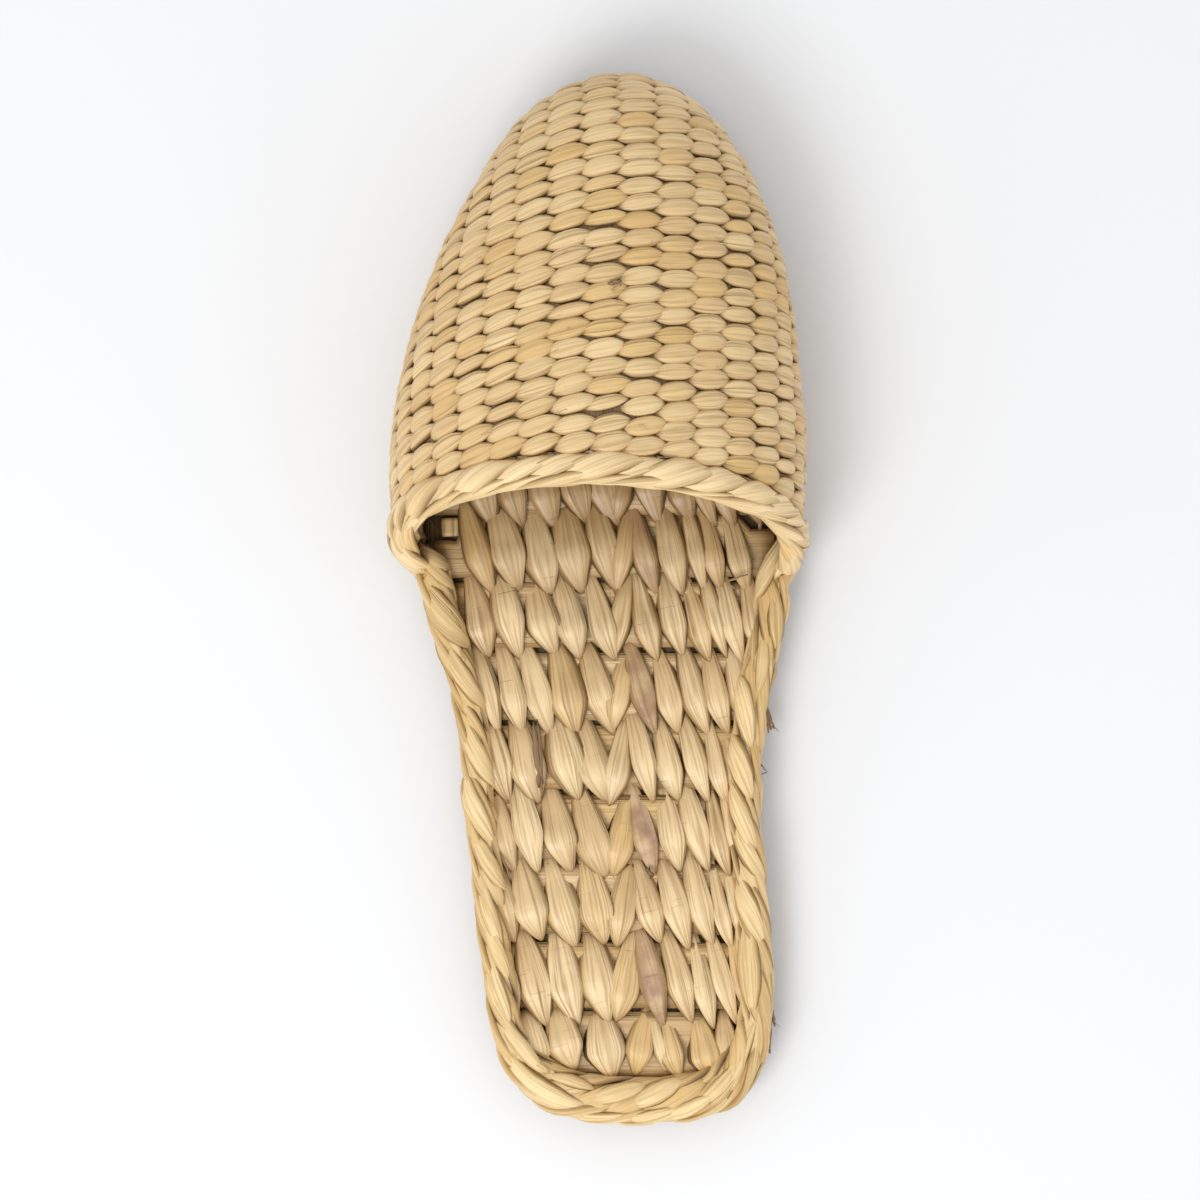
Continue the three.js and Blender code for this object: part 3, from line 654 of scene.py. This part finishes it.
# The strands on top of the rim, from the left foot of the throat round the heel to the right one: where
# each starts and where its tip lies (distance from the foot's middle line, then from the heel), its
# width and its sideways bow, all in mm, and how brown it is.
rim_chart = [
    (-48.5, 150.2, -37, 138.1, 3.8, 0.7, 0.35), (-48.5, 150.2, -35.5, 132.7, 3.5, 0, 0.2),
    (-47.2, 142.5, -33.3, 120.2, 6.8, -0.4, 0.05), (-38.5, 132.6, -31.9, 120.3, 2.6, 1.1, 0.2),
    (-42.4, 128.4, -28.9, 103.9, 4.5, -0.4, 0), (-36.6, 107.3, -27.6, 84.1, 4.9, 0, 0),
    (-35.8, 96.1, -27.2, 69.7, 4.9, -1.1, 0), (-31.2, 87.2, -26.7, 71.4, 1.9, 0.4, 0.25),
    (-33.4, 77.4, -24.7, 57.1, 4.1, 0, 0), (-31.8, 65.9, -25.5, 43.6, 3.9, 0, 0.05),
    (-30.5, 56.4, -23.8, 35.5, 3.9, 0, 0), (-29.1, 45.3, -23.2, 24.5, 4.1, -0.4, 0),
    (-26.3, 28.6, -13.5, 11.9, 3.9, -0.9, 0), (-19.4, 17, -12.9, 12.5, 2.1, 0, 0.1),
    (-26, 21.8, -2.6, 4.6, 6.6, -4.2, 0), (-15, 12.9, -1, 8.6, 3.2, 0, 0.2),
    (-14.6, 5.4, 10.9, 3, 3.5, -2, 0.05), (-5, 5.6, 13, 9.8, 4.6, 0, 0),
    (5.4, 4.2, 22.6, 11.6, 5.2, -0.4, 0.05), (3, 1.3, 20.6, 4.6, 2.9, -0.6, 0),
    (-2.1, 2, 15.9, 0.9, 2.5, -0.6, 0.1), (13.5, 1, 30.2, 8.3, 3.8, -0.6, 0),
    (22.2, 3.6, 37, 17.5, 4, -1.4, 0.05), (34.8, 38.3, 37.8, 16, 3.8, 0, 0),
    (37.2, 33.7, 33, 7.5, 4.7, 1.3, 0), (40.6, 33.2, 26.6, 3, 3.6, 2.8, 0.25),
    (43.5, 30.6, 31.9, 3.8, 2.1, 3.3, 0.5), (48.6, 154, 40.1, 126.7, 4.5, -1.6, 0),
    (48.8, 152.2, 44.8, 140.2, 3.6, 0, 0), (46.2, 141.6, 46.8, 127.4, 3.2, 1.2, 0),
    (45, 139.1, 44.6, 121.7, 3.8, 0, 0.05), (39.4, 142.2, 38.3, 113.2, 3.2, -0.6, 0.05),
    (42.2, 128.4, 40, 110.1, 3.2, 0.6, 0), (44.9, 123.2, 41.2, 109.9, 2.1, 0.6, 0.4),
    (38, 128.4, 38.8, 95.8, 5.6, -1.2, 0), (41.1, 112.4, 40.8, 92.8, 3, 0.6, 0.1),
    (33.4, 108.2, 38.8, 82.5, 5.9, -0.4, 0), (40.3, 94.9, 40.8, 77.4, 2.6, 0.6, 0.1),
    (32.2, 95.2, 40, 67.7, 4.7, 0, 0), (40.7, 80.5, 42.3, 58.4, 3, 0.6, 0.1),
    (34.1, 79.9, 42, 60.2, 4.1, 0, 0), (34, 69.3, 42, 44.7, 5.1, 0, 0.05),
    (34.4, 60.8, 35.5, 37.8, 3.2, 0, 0.1), (36.9, 56.2, 39.3, 27.5, 5.9, 0.6, 0),
    (42.6, 53.7, 43.5, 27.5, 3.2, 0.9, 0.15),
]
strand_room_beside, strand_room_above = 0.0011, 0.0015
rim_high = binding_height / 2 - strand_room_above


def rim_half(y):
    """Half the width of the path on which the strands' middles lie."""
    return binding_width_at(y) / 2 - strand_room_beside


def draped_strands():
    """The charted strands over the rim. In plan, t runs from start to tip and the bow is a parabola; a
    point's height is that of an ellipse round the rim's middle at its distance from it. The start
    dips below the strands before it, and the tip lies on those after it."""
    chart = np.array(rim_chart)
    x0, y0, x1, y1, wide, bow = (chart[:, :6].T / 1000)[..., None]
    t = np.linspace(0, 1, 24)
    start = np.stack([x0 - heel_place[0], y0], axis=-1)
    way = np.stack([x1 - x0, y1 - y0], axis=-1)
    side = unit(np.stack([-way[..., 1], way[..., 0]], axis=-1))
    plan = start + way * t[:, None] + side * (bow * 4 * t * (1 - t))[..., None]
    away = np.linalg.norm(plan[:, :, None] - rim[None, None, :, :2], axis=-1)
    near = away.argmin(axis=-1)
    middle, inward = rim[near], rim_inward[near]
    half = rim_half(middle[..., 1])
    reach = ((plan - middle[..., :2]) * inward[..., :2]).sum(axis=-1)
    held = np.clip(reach, -half, half)
    rise = rim_high * np.sqrt(1 - (held / half) ** 2)
    centre = np.concatenate([plan, middle[..., 2:]], axis=-1)
    centre = centre + inward * (held - reach)[..., None]
    centre[..., 2] += rise
    up = inward * (held / half**2)[..., None]
    up[..., 2] += rise / rim_high**2
    up = unit(up)
    high = 0.0011 + 0.06 * wide
    lift = np.interp(t, (0, 0.15, 0.45, 0.85, 1), (-1.7, -0.4, 0.5, 0.5, -0.2))
    centre = centre + up * (high * lift)[..., None]
    swell = np.interp(t, (0, 0.12, 0.3, 0.52, 0.72, 0.9, 1), (0.08, 0.42, 0.84, 1, 0.87, 0.45, 0.08))
    brown = chart[:, 6:]
    return strands(centre, up, wide / 2 * swell * 1.08, high * swell**0.5, binding_rng, sides=12,
                   folds=0.09, hues=0.15, dull=brown - 0.12, paler=0.28 - brown)


rim_strands = [
    draped_strands(),
    plait(rim_course, core=(rim_half, rim_high), every=0.0115, length=0.028, turn=(242, 130),
          half_width=0.0032, half_height=0.0013, rng=binding_rng, wander=0.1, sides=12, dull=-0.45),
    plait(rim_course, core=(rim_half, rim_high - 0.0003), every=0.0098, length=0.024, turn=(160, 30),
          half_width=0.0032, half_height=0.0011, rng=binding_rng, wander=0.1, sides=12, dull=0.1),
    plait(rim_course, core=(rim_half, rim_high), every=0.0115, length=0.026, turn=(50, -60),
          half_width=0.0026, half_height=0.0012, rng=binding_rng, wander=0.1, sides=12),
]
add_piece("sole_binding_strands", *joined(*rim_strands), plait_finish, "plaited_straw",
          "sole_binding")


# Upper: stakes run from the throat to the toe, and pairs of leaf weavers are twined round them in rows,
# so that one plump leaning stitch per row crosses each stake. Inside, the rows lie flat and brown.
instep_height = 0.059
side_bulge = 0.2
toe_fullness, toe_roundness = 1.7, 0.33
crown_start = 0.16
row_pitch = 0.0047
stake_pitch_throat, stake_pitch_toe = 0.0087, 0.0094
stake_shift_throat, stake_shift_row = 0.0053, -0.00045


def crown(inset, y):
    """Height of the upper's crown over the outsole: one minus a power of the way to the toe, to a
    small power, so that it stays high and then drops steeply."""
    toe = outline(upper_set_in + inset)[toe_tip, 1]
    share = np.clip((y - crown_start) / (toe - crown_start), 0, 1)
    return (instep_height - inset) * (1 - share**toe_fullness) ** toe_roundness


def upper_point(inset, angle, y):
    """Across, a half circle which swells past its feet; up, the sine of the angle times the crown."""
    left, right = sides(upper_set_in + inset, y)
    swell = 1 + side_bulge * np.abs(np.sin(2 * angle))
    x = (right + left) / 2 + (right - left) / 2 * np.cos(angle) * swell
    foot = outsole_thickness + seat_gap + spring(y)
    return np.stack(np.broadcast_arrays(x, y, foot + crown(inset, y) * np.sin(angle)), axis=-1)


def row_point(inset, angle, foot):
    """Where the plane of a row, which starts at foot and leans towards the toe, cuts the face: the
    distance from the heel is found by halving."""
    angle, foot = np.broadcast_arrays(angle, foot)
    lean = np.tan(throat_lean) * np.sin(angle)
    near = foot.astype(float)
    far = np.full(foot.shape, outline(upper_set_in + inset)[toe_tip, 1])
    halvings = 30
    for _ in range(halvings):
        middle = (near + far) / 2
        before = middle - lean * crown(inset, middle) < foot
        near = np.where(before, middle, near)
        far = np.where(before, far, middle)
    return upper_point(inset, angle, near)


def woven_face(inset):
    """A face of the upper as points and outward normals on rows, evenly spaced from the left foot to
    the right one, with where each row's ends lie from the crown."""
    along_steps, around_steps = 4, 160
    toe = outline(upper_set_in + inset)[toe_tip, 1]
    feet = np.linspace(throat_foot, toe, 500)
    run = run_along(row_point(inset, np.pi / 2, feet))
    rows = np.arange(0, run[-1] / row_pitch, 1 / along_steps)
    foot = np.interp(rows * row_pitch, run, feet)
    angle = np.pi * (1 - np.linspace(0, 1, around_steps + 1))
    raw = row_point(inset, angle[None], foot[:, None])
    at = run_along(raw)
    left, right = -at[:, around_steps // 2], at[:, -1] - at[:, around_steps // 2]
    even = np.linspace(0, 1, around_steps + 1)
    points = np.stack([read_at(even * line[-1], line, row) for line, row in zip(at, raw)])
    normals = unit(np.cross(np.gradient(points, axis=1), np.gradient(points, axis=0)))
    return {"rows": rows, "left": left, "right": right, "points": points, "normals": normals}


def row_ends(face, row):
    """How far from the crown the left and the right end of a row lie."""
    return [np.interp(row, face["rows"], face[side]) for side in ("left", "right")]


def on_weave(face, around, row):
    """Place and normal on a row, so far round from the crown, between the four nearest points."""
    around, row = np.broadcast_arrays(around, row)
    left, right = row_ends(face, row)
    counts = face["points"].shape
    i = np.clip(row / face["rows"][1], 0, counts[0] - 1.001)
    j = np.clip((around - left) / np.maximum(right - left, 1e-6), 0, 0.9999) * (counts[1] - 1)
    i0, j0 = i.astype(int), j.astype(int)
    fi, fj = (i - i0)[..., None], (j - j0)[..., None]

    def read(grid):
        low = grid[i0, j0] * (1 - fj) + grid[i0, j0 + 1] * fj
        high = grid[i0 + 1, j0] * (1 - fj) + grid[i0 + 1, j0 + 1] * fj
        return low * (1 - fi) + high * fi

    return read(face["points"]), unit(read(face["normals"]))


outer_face = woven_face(0.0006)
inner_face = woven_face(upper_wall)
upper_rng = np.random.default_rng(51)
twined_finish = leaf_finish(
    "twined leaf", pale=rgb(0.88, 0.66, 0.35), deep=rgb(0.72, 0.48, 0.22),
    warm=rgb(0.74, 0.46, 0.15), edge=rgb(0.5, 0.31, 0.12), stain_and_shade=rgb(0.16, 0.09, 0.035),
    fibre_height=0.0008, creases=0.6)
stake_finish = leaf_finish(
    "stake fibre", pale=rgb(0.46, 0.29, 0.14), deep=rgb(0.26, 0.15, 0.065),
    warm=rgb(0.34, 0.2, 0.08), edge=rgb(0.17, 0.09, 0.035), stain_and_shade=rgb(0.06, 0.03, 0.012), gloss=0.03,
    fibre_height=0.0006)


def wall_of_upper():
    """The stakes as one wall: each ring runs over the outer face from left to right and back over the
    inner face, which is ribbed by its rows; a strip closes the throat and the toe."""
    around_points, ring_count, rib_height = 97, 112, 0.0009
    share = np.linspace(0, 1, around_points)
    rings = []
    for face, lift, back in ((outer_face, -0.0003, False), (inner_face, 0.0, True)):
        rows = np.linspace(0, face["rows"][-1] - 0.04, ring_count)
        left, right = row_ends(face, rows[:, None])
        place, normal = on_weave(face, left + (right - left) * share, rows[:, None])
        if back:
            ribbed = rib_height * np.abs(np.cos(np.pi * rows))[:, None, None]
            place = (place + normal * ribbed)[:, ::-1]
        rings.append(place + normal * lift)
    points = np.concatenate(rings, axis=1)
    count, size = points.shape[:2]
    half = len(share)
    ring = np.arange(count * size).reshape(count, size)
    outer = ring[:, :half]
    inner = ring[:, half:][:, ::-1]
    throat = np.stack([outer[0, 1:], outer[0, :-1], inner[0, :-1], inner[0, 1:]], axis=-1)
    toe = np.stack([outer[-1, :-1], outer[-1, 1:], inner[-1, 1:], inner[-1, :-1]], axis=-1)
    faces = np.concatenate([tube(ring), throat, toe])
    girth = np.concatenate([share, 1 + share[::-1]]) * 0.15
    leaf = np.stack(np.broadcast_arrays((rows * row_pitch)[:, None], girth), axis=-1).reshape(-1, 2)
    straw = np.tile([0.5, 0.0, 0.0, 0.0], (count, size, 1))
    # The outer face shows only in the gaps between stitches; it gets a little painted shade.
    straw[:, :half, 2] = 0.12
    return points.reshape(-1, 3), [faces], leaf[faces.ravel()], straw.reshape(-1, 4)


add_piece("upper_stakes", *wall_of_upper(), stake_finish, "twined_straw", "upper")


def twined_stitches():
    """Stitches: t runs from a stitch's left tip to its right one. It leans across its row, is widest
    in its middle, and its tips dip under the face, where the next stitch begins. Some stitches are
    thin, and those about the eleventh row are the darkest and the most golden."""
    rows = np.arange(int(outer_face["rows"][-1] - 0.7)) + 0.25
    stakes = np.arange(-14, 15)
    row, stake = (grid.ravel() for grid in np.meshgrid(rows, stakes, indexing="ij"))
    to_toe = np.clip(row / 22, 0, 1)
    pitch = stake_pitch_throat + (stake_pitch_toe - stake_pitch_throat) * to_toe
    middle = stake * pitch + stake_shift_throat + stake_shift_row * row
    left, right = row_ends(outer_face, row)
    room = 0.14 * pitch
    kept = (middle > left + room) & (middle < right - room)
    row, pitch, middle, left, right = (a[kept][:, None] for a in (row, pitch, middle, left, right))
    draw = drawing(upper_rng, len(row))
    stitch_half_length, end_room = 0.71, 0.0004
    t = np.linspace(-1, 1, 15)
    middle = middle + draw(-0.05, 0.05) * pitch
    around = middle + stitch_half_length * pitch * t * draw(0.94, 1.06)
    around = np.clip(around, left + end_room, right - end_room)
    row_line = row + draw(-0.07, 0.07)
    row_line = row_line + (0.3 * t - 0.05 * t**3) * draw(0.75, 1.25)
    place, normal = on_weave(outer_face, around, row_line)
    thin = draw(0, 1) < np.where((row > 1) & (row < 15), 0.16, 0.04)
    size = draw(0.9, 1.1) * np.where(thin, 0.76, 1)
    dive = np.where(t < 0, 0.0016, 0.0009)
    lift = 0.0004 - dive * np.abs(t) ** 3
    centre = place + normal * lift[:, None]
    swell = np.interp(np.abs(t), (0, 0.36, 0.68, 0.9, 1), (1, 0.95, 0.61, 0.28, 0.07))
    width = (0.555 + 0.06 * smooth_step(row, 14, 20)) * row_pitch * swell * size
    height = 0.0013 * swell**0.5 * draw(0.85, 1.12)
    worn = -0.45 * np.exp(-((row - 11) / 1.6) ** 2) * draw(0, 1)
    golden = 0.2 + 0.45 * np.exp(-((row - 11) / 1.2) ** 2)
    return strands(centre, normal, width, height, upper_rng, sides=12, folds=0.06, hues=golden,
                   dull=0.06, paler=worn)


add_piece("upper_stitches", *twined_stitches(), twined_finish, "twined_straw", "upper")

foot_inset, foot_height = 0.0016, footbed_base + 0.0021
foot_course = edge_course(foot_inset, foot_height)
beside_upper = foot_course[0][:, 1] > throat_foot
foot_course = [values[beside_upper] for values in foot_course]
foot_row = plait(foot_course, core=(0.0009, 0.0012), every=0.0086, length=0.0125, turn=(222, 132),
                 half_width=0.0023, half_height=0.0013, rng=upper_rng, steps=14, tail=0.1)
core_drop = 0.0012
core_course = [foot_course[0] - core_drop * upwards, *foot_course[1:]]
foot_core = core_strand(core_course, half_width=0.0012, half_height=0.003, rng=upper_rng)
add_piece("upper_foot_row", *joined(foot_row, foot_core), twined_finish, "twined_straw", "upper")


# Border: leaf strands plied over the upper's open edge. Broad ones cross from the lip to the first row
# of stitches, and long thin ones close the lip. At both feet they run down into the binding.
border_rng = np.random.default_rng(67)


def border_course():
    """The middle of the border, from the binding on its left over the crown to the binding on its
    right, with the ways to the toe and outwards. Its bends at the binding are smoothed."""
    arch_points, even_points, smoothings = 161, 201, 18
    angle = np.pi * (1 - np.linspace(0, 1, arch_points))
    arch = row_point(upper_wall / 2, angle, border_foot)
    ahead = unit(row_point(upper_wall / 2, angle, border_foot + 0.001) - arch)
    beside = rim[(rim[:, 1] > binding_end - 0.012) & (rim[:, 1] < binding_end)]
    left, right = beside[beside[:, 0] < 0][::-1], beside[beside[:, 0] > 0][::-1]
    path = np.concatenate([left, arch, right])
    toe_way = np.concatenate([0 * left - upwards, ahead, 0 * right - upwards])
    run = run_along(path)
    even = np.linspace(0, run[-1], even_points)
    both = read_at(even, run, np.hstack([path, toe_way]))
    for _ in range(smoothings):
        both[1:-1] = (both[:-2] + 2 * both[1:-1] + both[2:]) / 4
    path, toe_way = both[:, :3], both[:, 3:]
    forward = unit(np.gradient(path, axis=0))
    toward = unit(toe_way - (toe_way * forward).sum(axis=1, keepdims=True) * forward)
    return path, toward, unit(np.cross(forward, toward))


throat_course = border_course()
border_half = border_width / 2 - 0.0016
core_half = border_half - 0.0002
# The core is nearly black straw: painted shade in the gaps between the border's strands.
border_core = core_strand(throat_course, core_half, core_half, border_rng)
add_piece("throat_border_core", *border_core, dark_straw, "plaited_straw", "throat_border")
border_finish = leaf_finish(
    "border leaf", pale=rgb(0.91, 0.68, 0.37), deep=rgb(0.74, 0.52, 0.25), warm=rgb(0.76, 0.5, 0.2),
    edge=rgb(0.54, 0.35, 0.14), stain_and_shade=rgb(0.2, 0.12, 0.045))
lip_half = border_half + 0.0005
toe_side = [values[26:-26] for values in throat_course]
border_strands = [
    plait(throat_course, core=(border_half, border_half), every=0.0098, length=0.0285,
          turn=(165, -25), half_width=0.0031, half_height=0.0015, rng=border_rng, steps=24,
          wander=0.12, blunt=2.0, paler=0.4, dull=-0.05, tail=0),
    plait(throat_course, core=(lip_half, lip_half), every=0.0115, length=0.036, turn=(228, 122),
          half_width=0.0027, half_height=0.0011, rng=border_rng, steps=24, wander=0.1, blunt=2.0,
          paler=0.4, dull=-0.1, tail=0),
    plait(toe_side, core=(border_half, border_half), every=0.0104, length=0.021, turn=(-10, -130),
          half_width=0.0026, half_height=0.0013, rng=border_rng, steps=22, dull=-0.2, tail=0),
]
add_piece("throat_border_strands", *joined(*border_strands), border_finish, "plaited_straw",
          "throat_border")


# Loose fibres: broken leaf ends that stick out of the weave, brown where the outsole's straw shows.
# They are left as the leaf frays, neither glued nor cut.
loose_rng = np.random.default_rng(83)
# Each one's two ends from the foot's middle line, the heel and the floor, how high its middle stands
# above the line between them, and its width, all in mm, and how brown it is.
outsole_fibres = [
    (41, 110.2, 8.6, 43.9, 101.4, 7.2, 0.6, 1.2, 0.1),
    (41.9, 109.4, 8, 44.6, 101.9, 6.8, 0.5, 0.9, 0.2),
    (42.6, 108.2, 7.8, 43.2, 100.6, 7, 0.4, 0.8, 0),
    (43, 103, 7, 46, 100.9, 6.2, 0.4, 0.25, 0.1),
    (42.8, 102.6, 6.9, 45.3, 101.9, 7.9, 0.5, 0.2, 0.1),
    (40.6, 93.2, 8, 42.9, 90.6, 8.8, 1.2, 0.35, 0.1),
    (42.9, 90.6, 8.8, 41.4, 89.8, 7.8, 0.2, 0.3, 0.1),
    (43.2, 33.4, 7.4, 44.9, 24.6, 7, 0.7, 1.1, 0.1),
    (43.6, 30.4, 7, 43.6, 17.6, 7.2, 0.6, 1.2, 0),
    (43.9, 27.2, 6.4, 46, 24.2, 6.8, 0.3, 0.2, 0.1),
]
footbed_fibres = [
    (-17.3, 103.5, 12.2, -15.9, 86.5, 12.4, 0.3, 1.6, 0.15),
    (-16.5, 104.2, 12, -14.9, 87.5, 12.3, 0.4, 0.9, 0.3),
    (-16, 97, 12.6, -15.2, 83.4, 11.6, 0.3, 0.8, 0.2),
    (32, 139.6, 13, 38, 141.6, 13.6, 0.8, 0.7, 0),
    (32.2, 140, 13.2, 35, 137.7, 12.6, 0.3, 0.6, 0.1),
    (11.6, 65.8, 12.3, 13.6, 63.6, 12.6, 0.2, 1.3, 0.5),
    (12.6, 66.2, 12.4, 12.9, 63, 12.5, 0.3, 0.7, 0.7),
    (-26.6, 71, 12.8, -22.9, 62.2, 12.6, 0.4, 0.6, 0.3),
]
binding_fibres = [
    (41.9, 32.6, 14.2, 42.7, 22, 13.2, 0.3, 0.9, 0.3),
    (-36.6, 122.6, 14.6, -34.4, 118.3, 14, 0.4, 0.5, 0.2),
    (-36, 121.4, 14.8, -35.3, 117.7, 13.6, 0.4, 0.3, 0.2),
    (-42.6, 136, 14.8, -36.8, 126.4, 15, 0.7, 0.6, 0.3),
    (-41.4, 136.6, 14.8, -35.9, 127.9, 14.8, 0.8, 0.4, 0.35),
    (50.3, 146.4, 15.2, 53.2, 143.6, 14, 0.5, 0.15, 0.2),
]


def loose_strands(ends, rise, wide, brown):
    """Thin strands between two ends each: a parabola lifts the middle, and both ends are pointed."""
    t = np.linspace(0, 1, 10)[:, None]
    start, end = ends[:, None, :3], ends[:, None, 3:]
    centre = start + (end - start) * t
    centre[..., 2] += rise * (4 * t * (1 - t))[:, 0]
    centre[:, 1:-1] += loose_rng.normal(0, 0.00012, centre[:, 1:-1].shape)
    swell = np.sin(np.pi * (0.06 + 0.88 * t[:, 0])) ** 0.6
    return strands(centre, upwards, wide / 2 * swell, wide * 0.3 * swell, loose_rng, sides=6,
                   dull=brown, paler=-brown, square=True)


for name, slot, finish, chart in (
    ("outsole", "coarse_straw", coarse_straw, outsole_fibres),
    ("footbed", "footbed_straw", coarse_straw, footbed_fibres),
    ("sole_binding", "plaited_straw", plait_finish, binding_fibres),
):
    chart = np.array(chart)
    chart[:, :8] /= 1000
    ends = chart[:, :6] - np.tile([heel_place[0], 0, 0], 2)
    fibres = loose_strands(ends, chart[:, 6:7], chart[:, 7:8], chart[:, 8:])
    add_piece(name + "_loose_fibres", *fibres, finish, slot, name)

# On the upper: one brown stub of two leaf ends left of the middle, and fine hairs that lift from the
# stitches.
hair_count = 44


def stub_and_hairs(stub, low, high):
    """The values of the stub's two ends, then one between low and high for each hair."""
    return np.concatenate([stub, loose_rng.uniform(low, high, hair_count)])[:, None]


around = stub_and_hairs([0.0022, 0.0032], -0.052, 0.052)
weave_row = stub_and_hairs([8.6, 8.2], 0.5, 21)
size = stub_and_hairs([0.0034, 0.0024], 0.0015, 0.004)
near, normal = on_weave(outer_face, around, weave_row)
far, _ = on_weave(outer_face, around + size, weave_row + loose_rng.uniform(-0.3, 0.3, size.shape))
stands = stub_and_hairs([0.0016, 0.0028], 0.0002, 0.0011)[..., None]
ends = np.concatenate([near + normal * 0.001, far + normal * (0.001 + stands)], axis=-1)[:, 0]
wide = stub_and_hairs([0.0011, 0.0007], 0.00012, 0.00022)
brown = stub_and_hairs([0.8, 0.4], 0, 0.3)
add_piece("upper_loose_fibres", *loose_strands(ends, 0.0003, wide, brown), twined_finish,
          "twined_straw", "upper")


# Floor, light and camera: a plain pale floor, a soft square light from the heel's left and a pale
# surround. The camera looks down on the shoe from a little to its right.
floor_finish = Finish("pale floor", Roughness=0.9, Base_Color=rgb(0.825, 0.82, 0.82))
floor_mesh = bpy.data.meshes.new("floor")
floor_reach = 3.0
floor_corners = floor_reach * np.array([(-1, -1, 0), (1, -1, 0), (1, 1, 0), (-1, 1, 0)])
floor_mesh.from_pydata(floor_corners.tolist(), [], [(0, 1, 2, 3)])
floor_mesh.materials.append(floor_finish.material)
floor = placed("floor", floor_mesh)

surround = bpy.data.worlds.new("surround")
surround.use_nodes = True
background = surround.node_tree.nodes["Background"]
background.inputs["Color"].default_value = rgb(0.95, 0.975, 1.0)
background.inputs["Strength"].default_value = 0.88
bpy.context.scene.world = surround

light_place, light_target = Vector((-0.42, -0.62, 1.05)), Vector((0, 0, 0.02))
light = bpy.data.lights.new("key", "AREA")
light.size = 0.6
light.energy = 7.2
lamp = placed("key", light)
lamp.location = light_place
lamp.rotation_mode = "QUATERNION"
lamp.rotation_quaternion = (light_target - light_place).to_track_quat("-Z", "Y")

camera_place = np.array([0.0618, 0.0087, 1.1])
camera_target = np.array([0.0, 0.0, 0.015])
backward = unit(camera_place - camera_target)
rightward = unit(np.cross([0.0, 1.0, 0.0], backward))
upward = np.cross(backward, rightward)
camera_data = bpy.data.cameras.new("camera")
camera_data.lens = 126.7
camera_data.sensor_width = 36
camera = placed("camera", camera_data)
camera.location = camera_place
camera.rotation_mode = "QUATERNION"
camera.rotation_quaternion = Matrix(np.stack([rightward, upward, backward], axis=1)).to_quaternion()
bpy.context.scene.camera = camera
bpy.context.scene.view_settings.view_transform = "Standard"
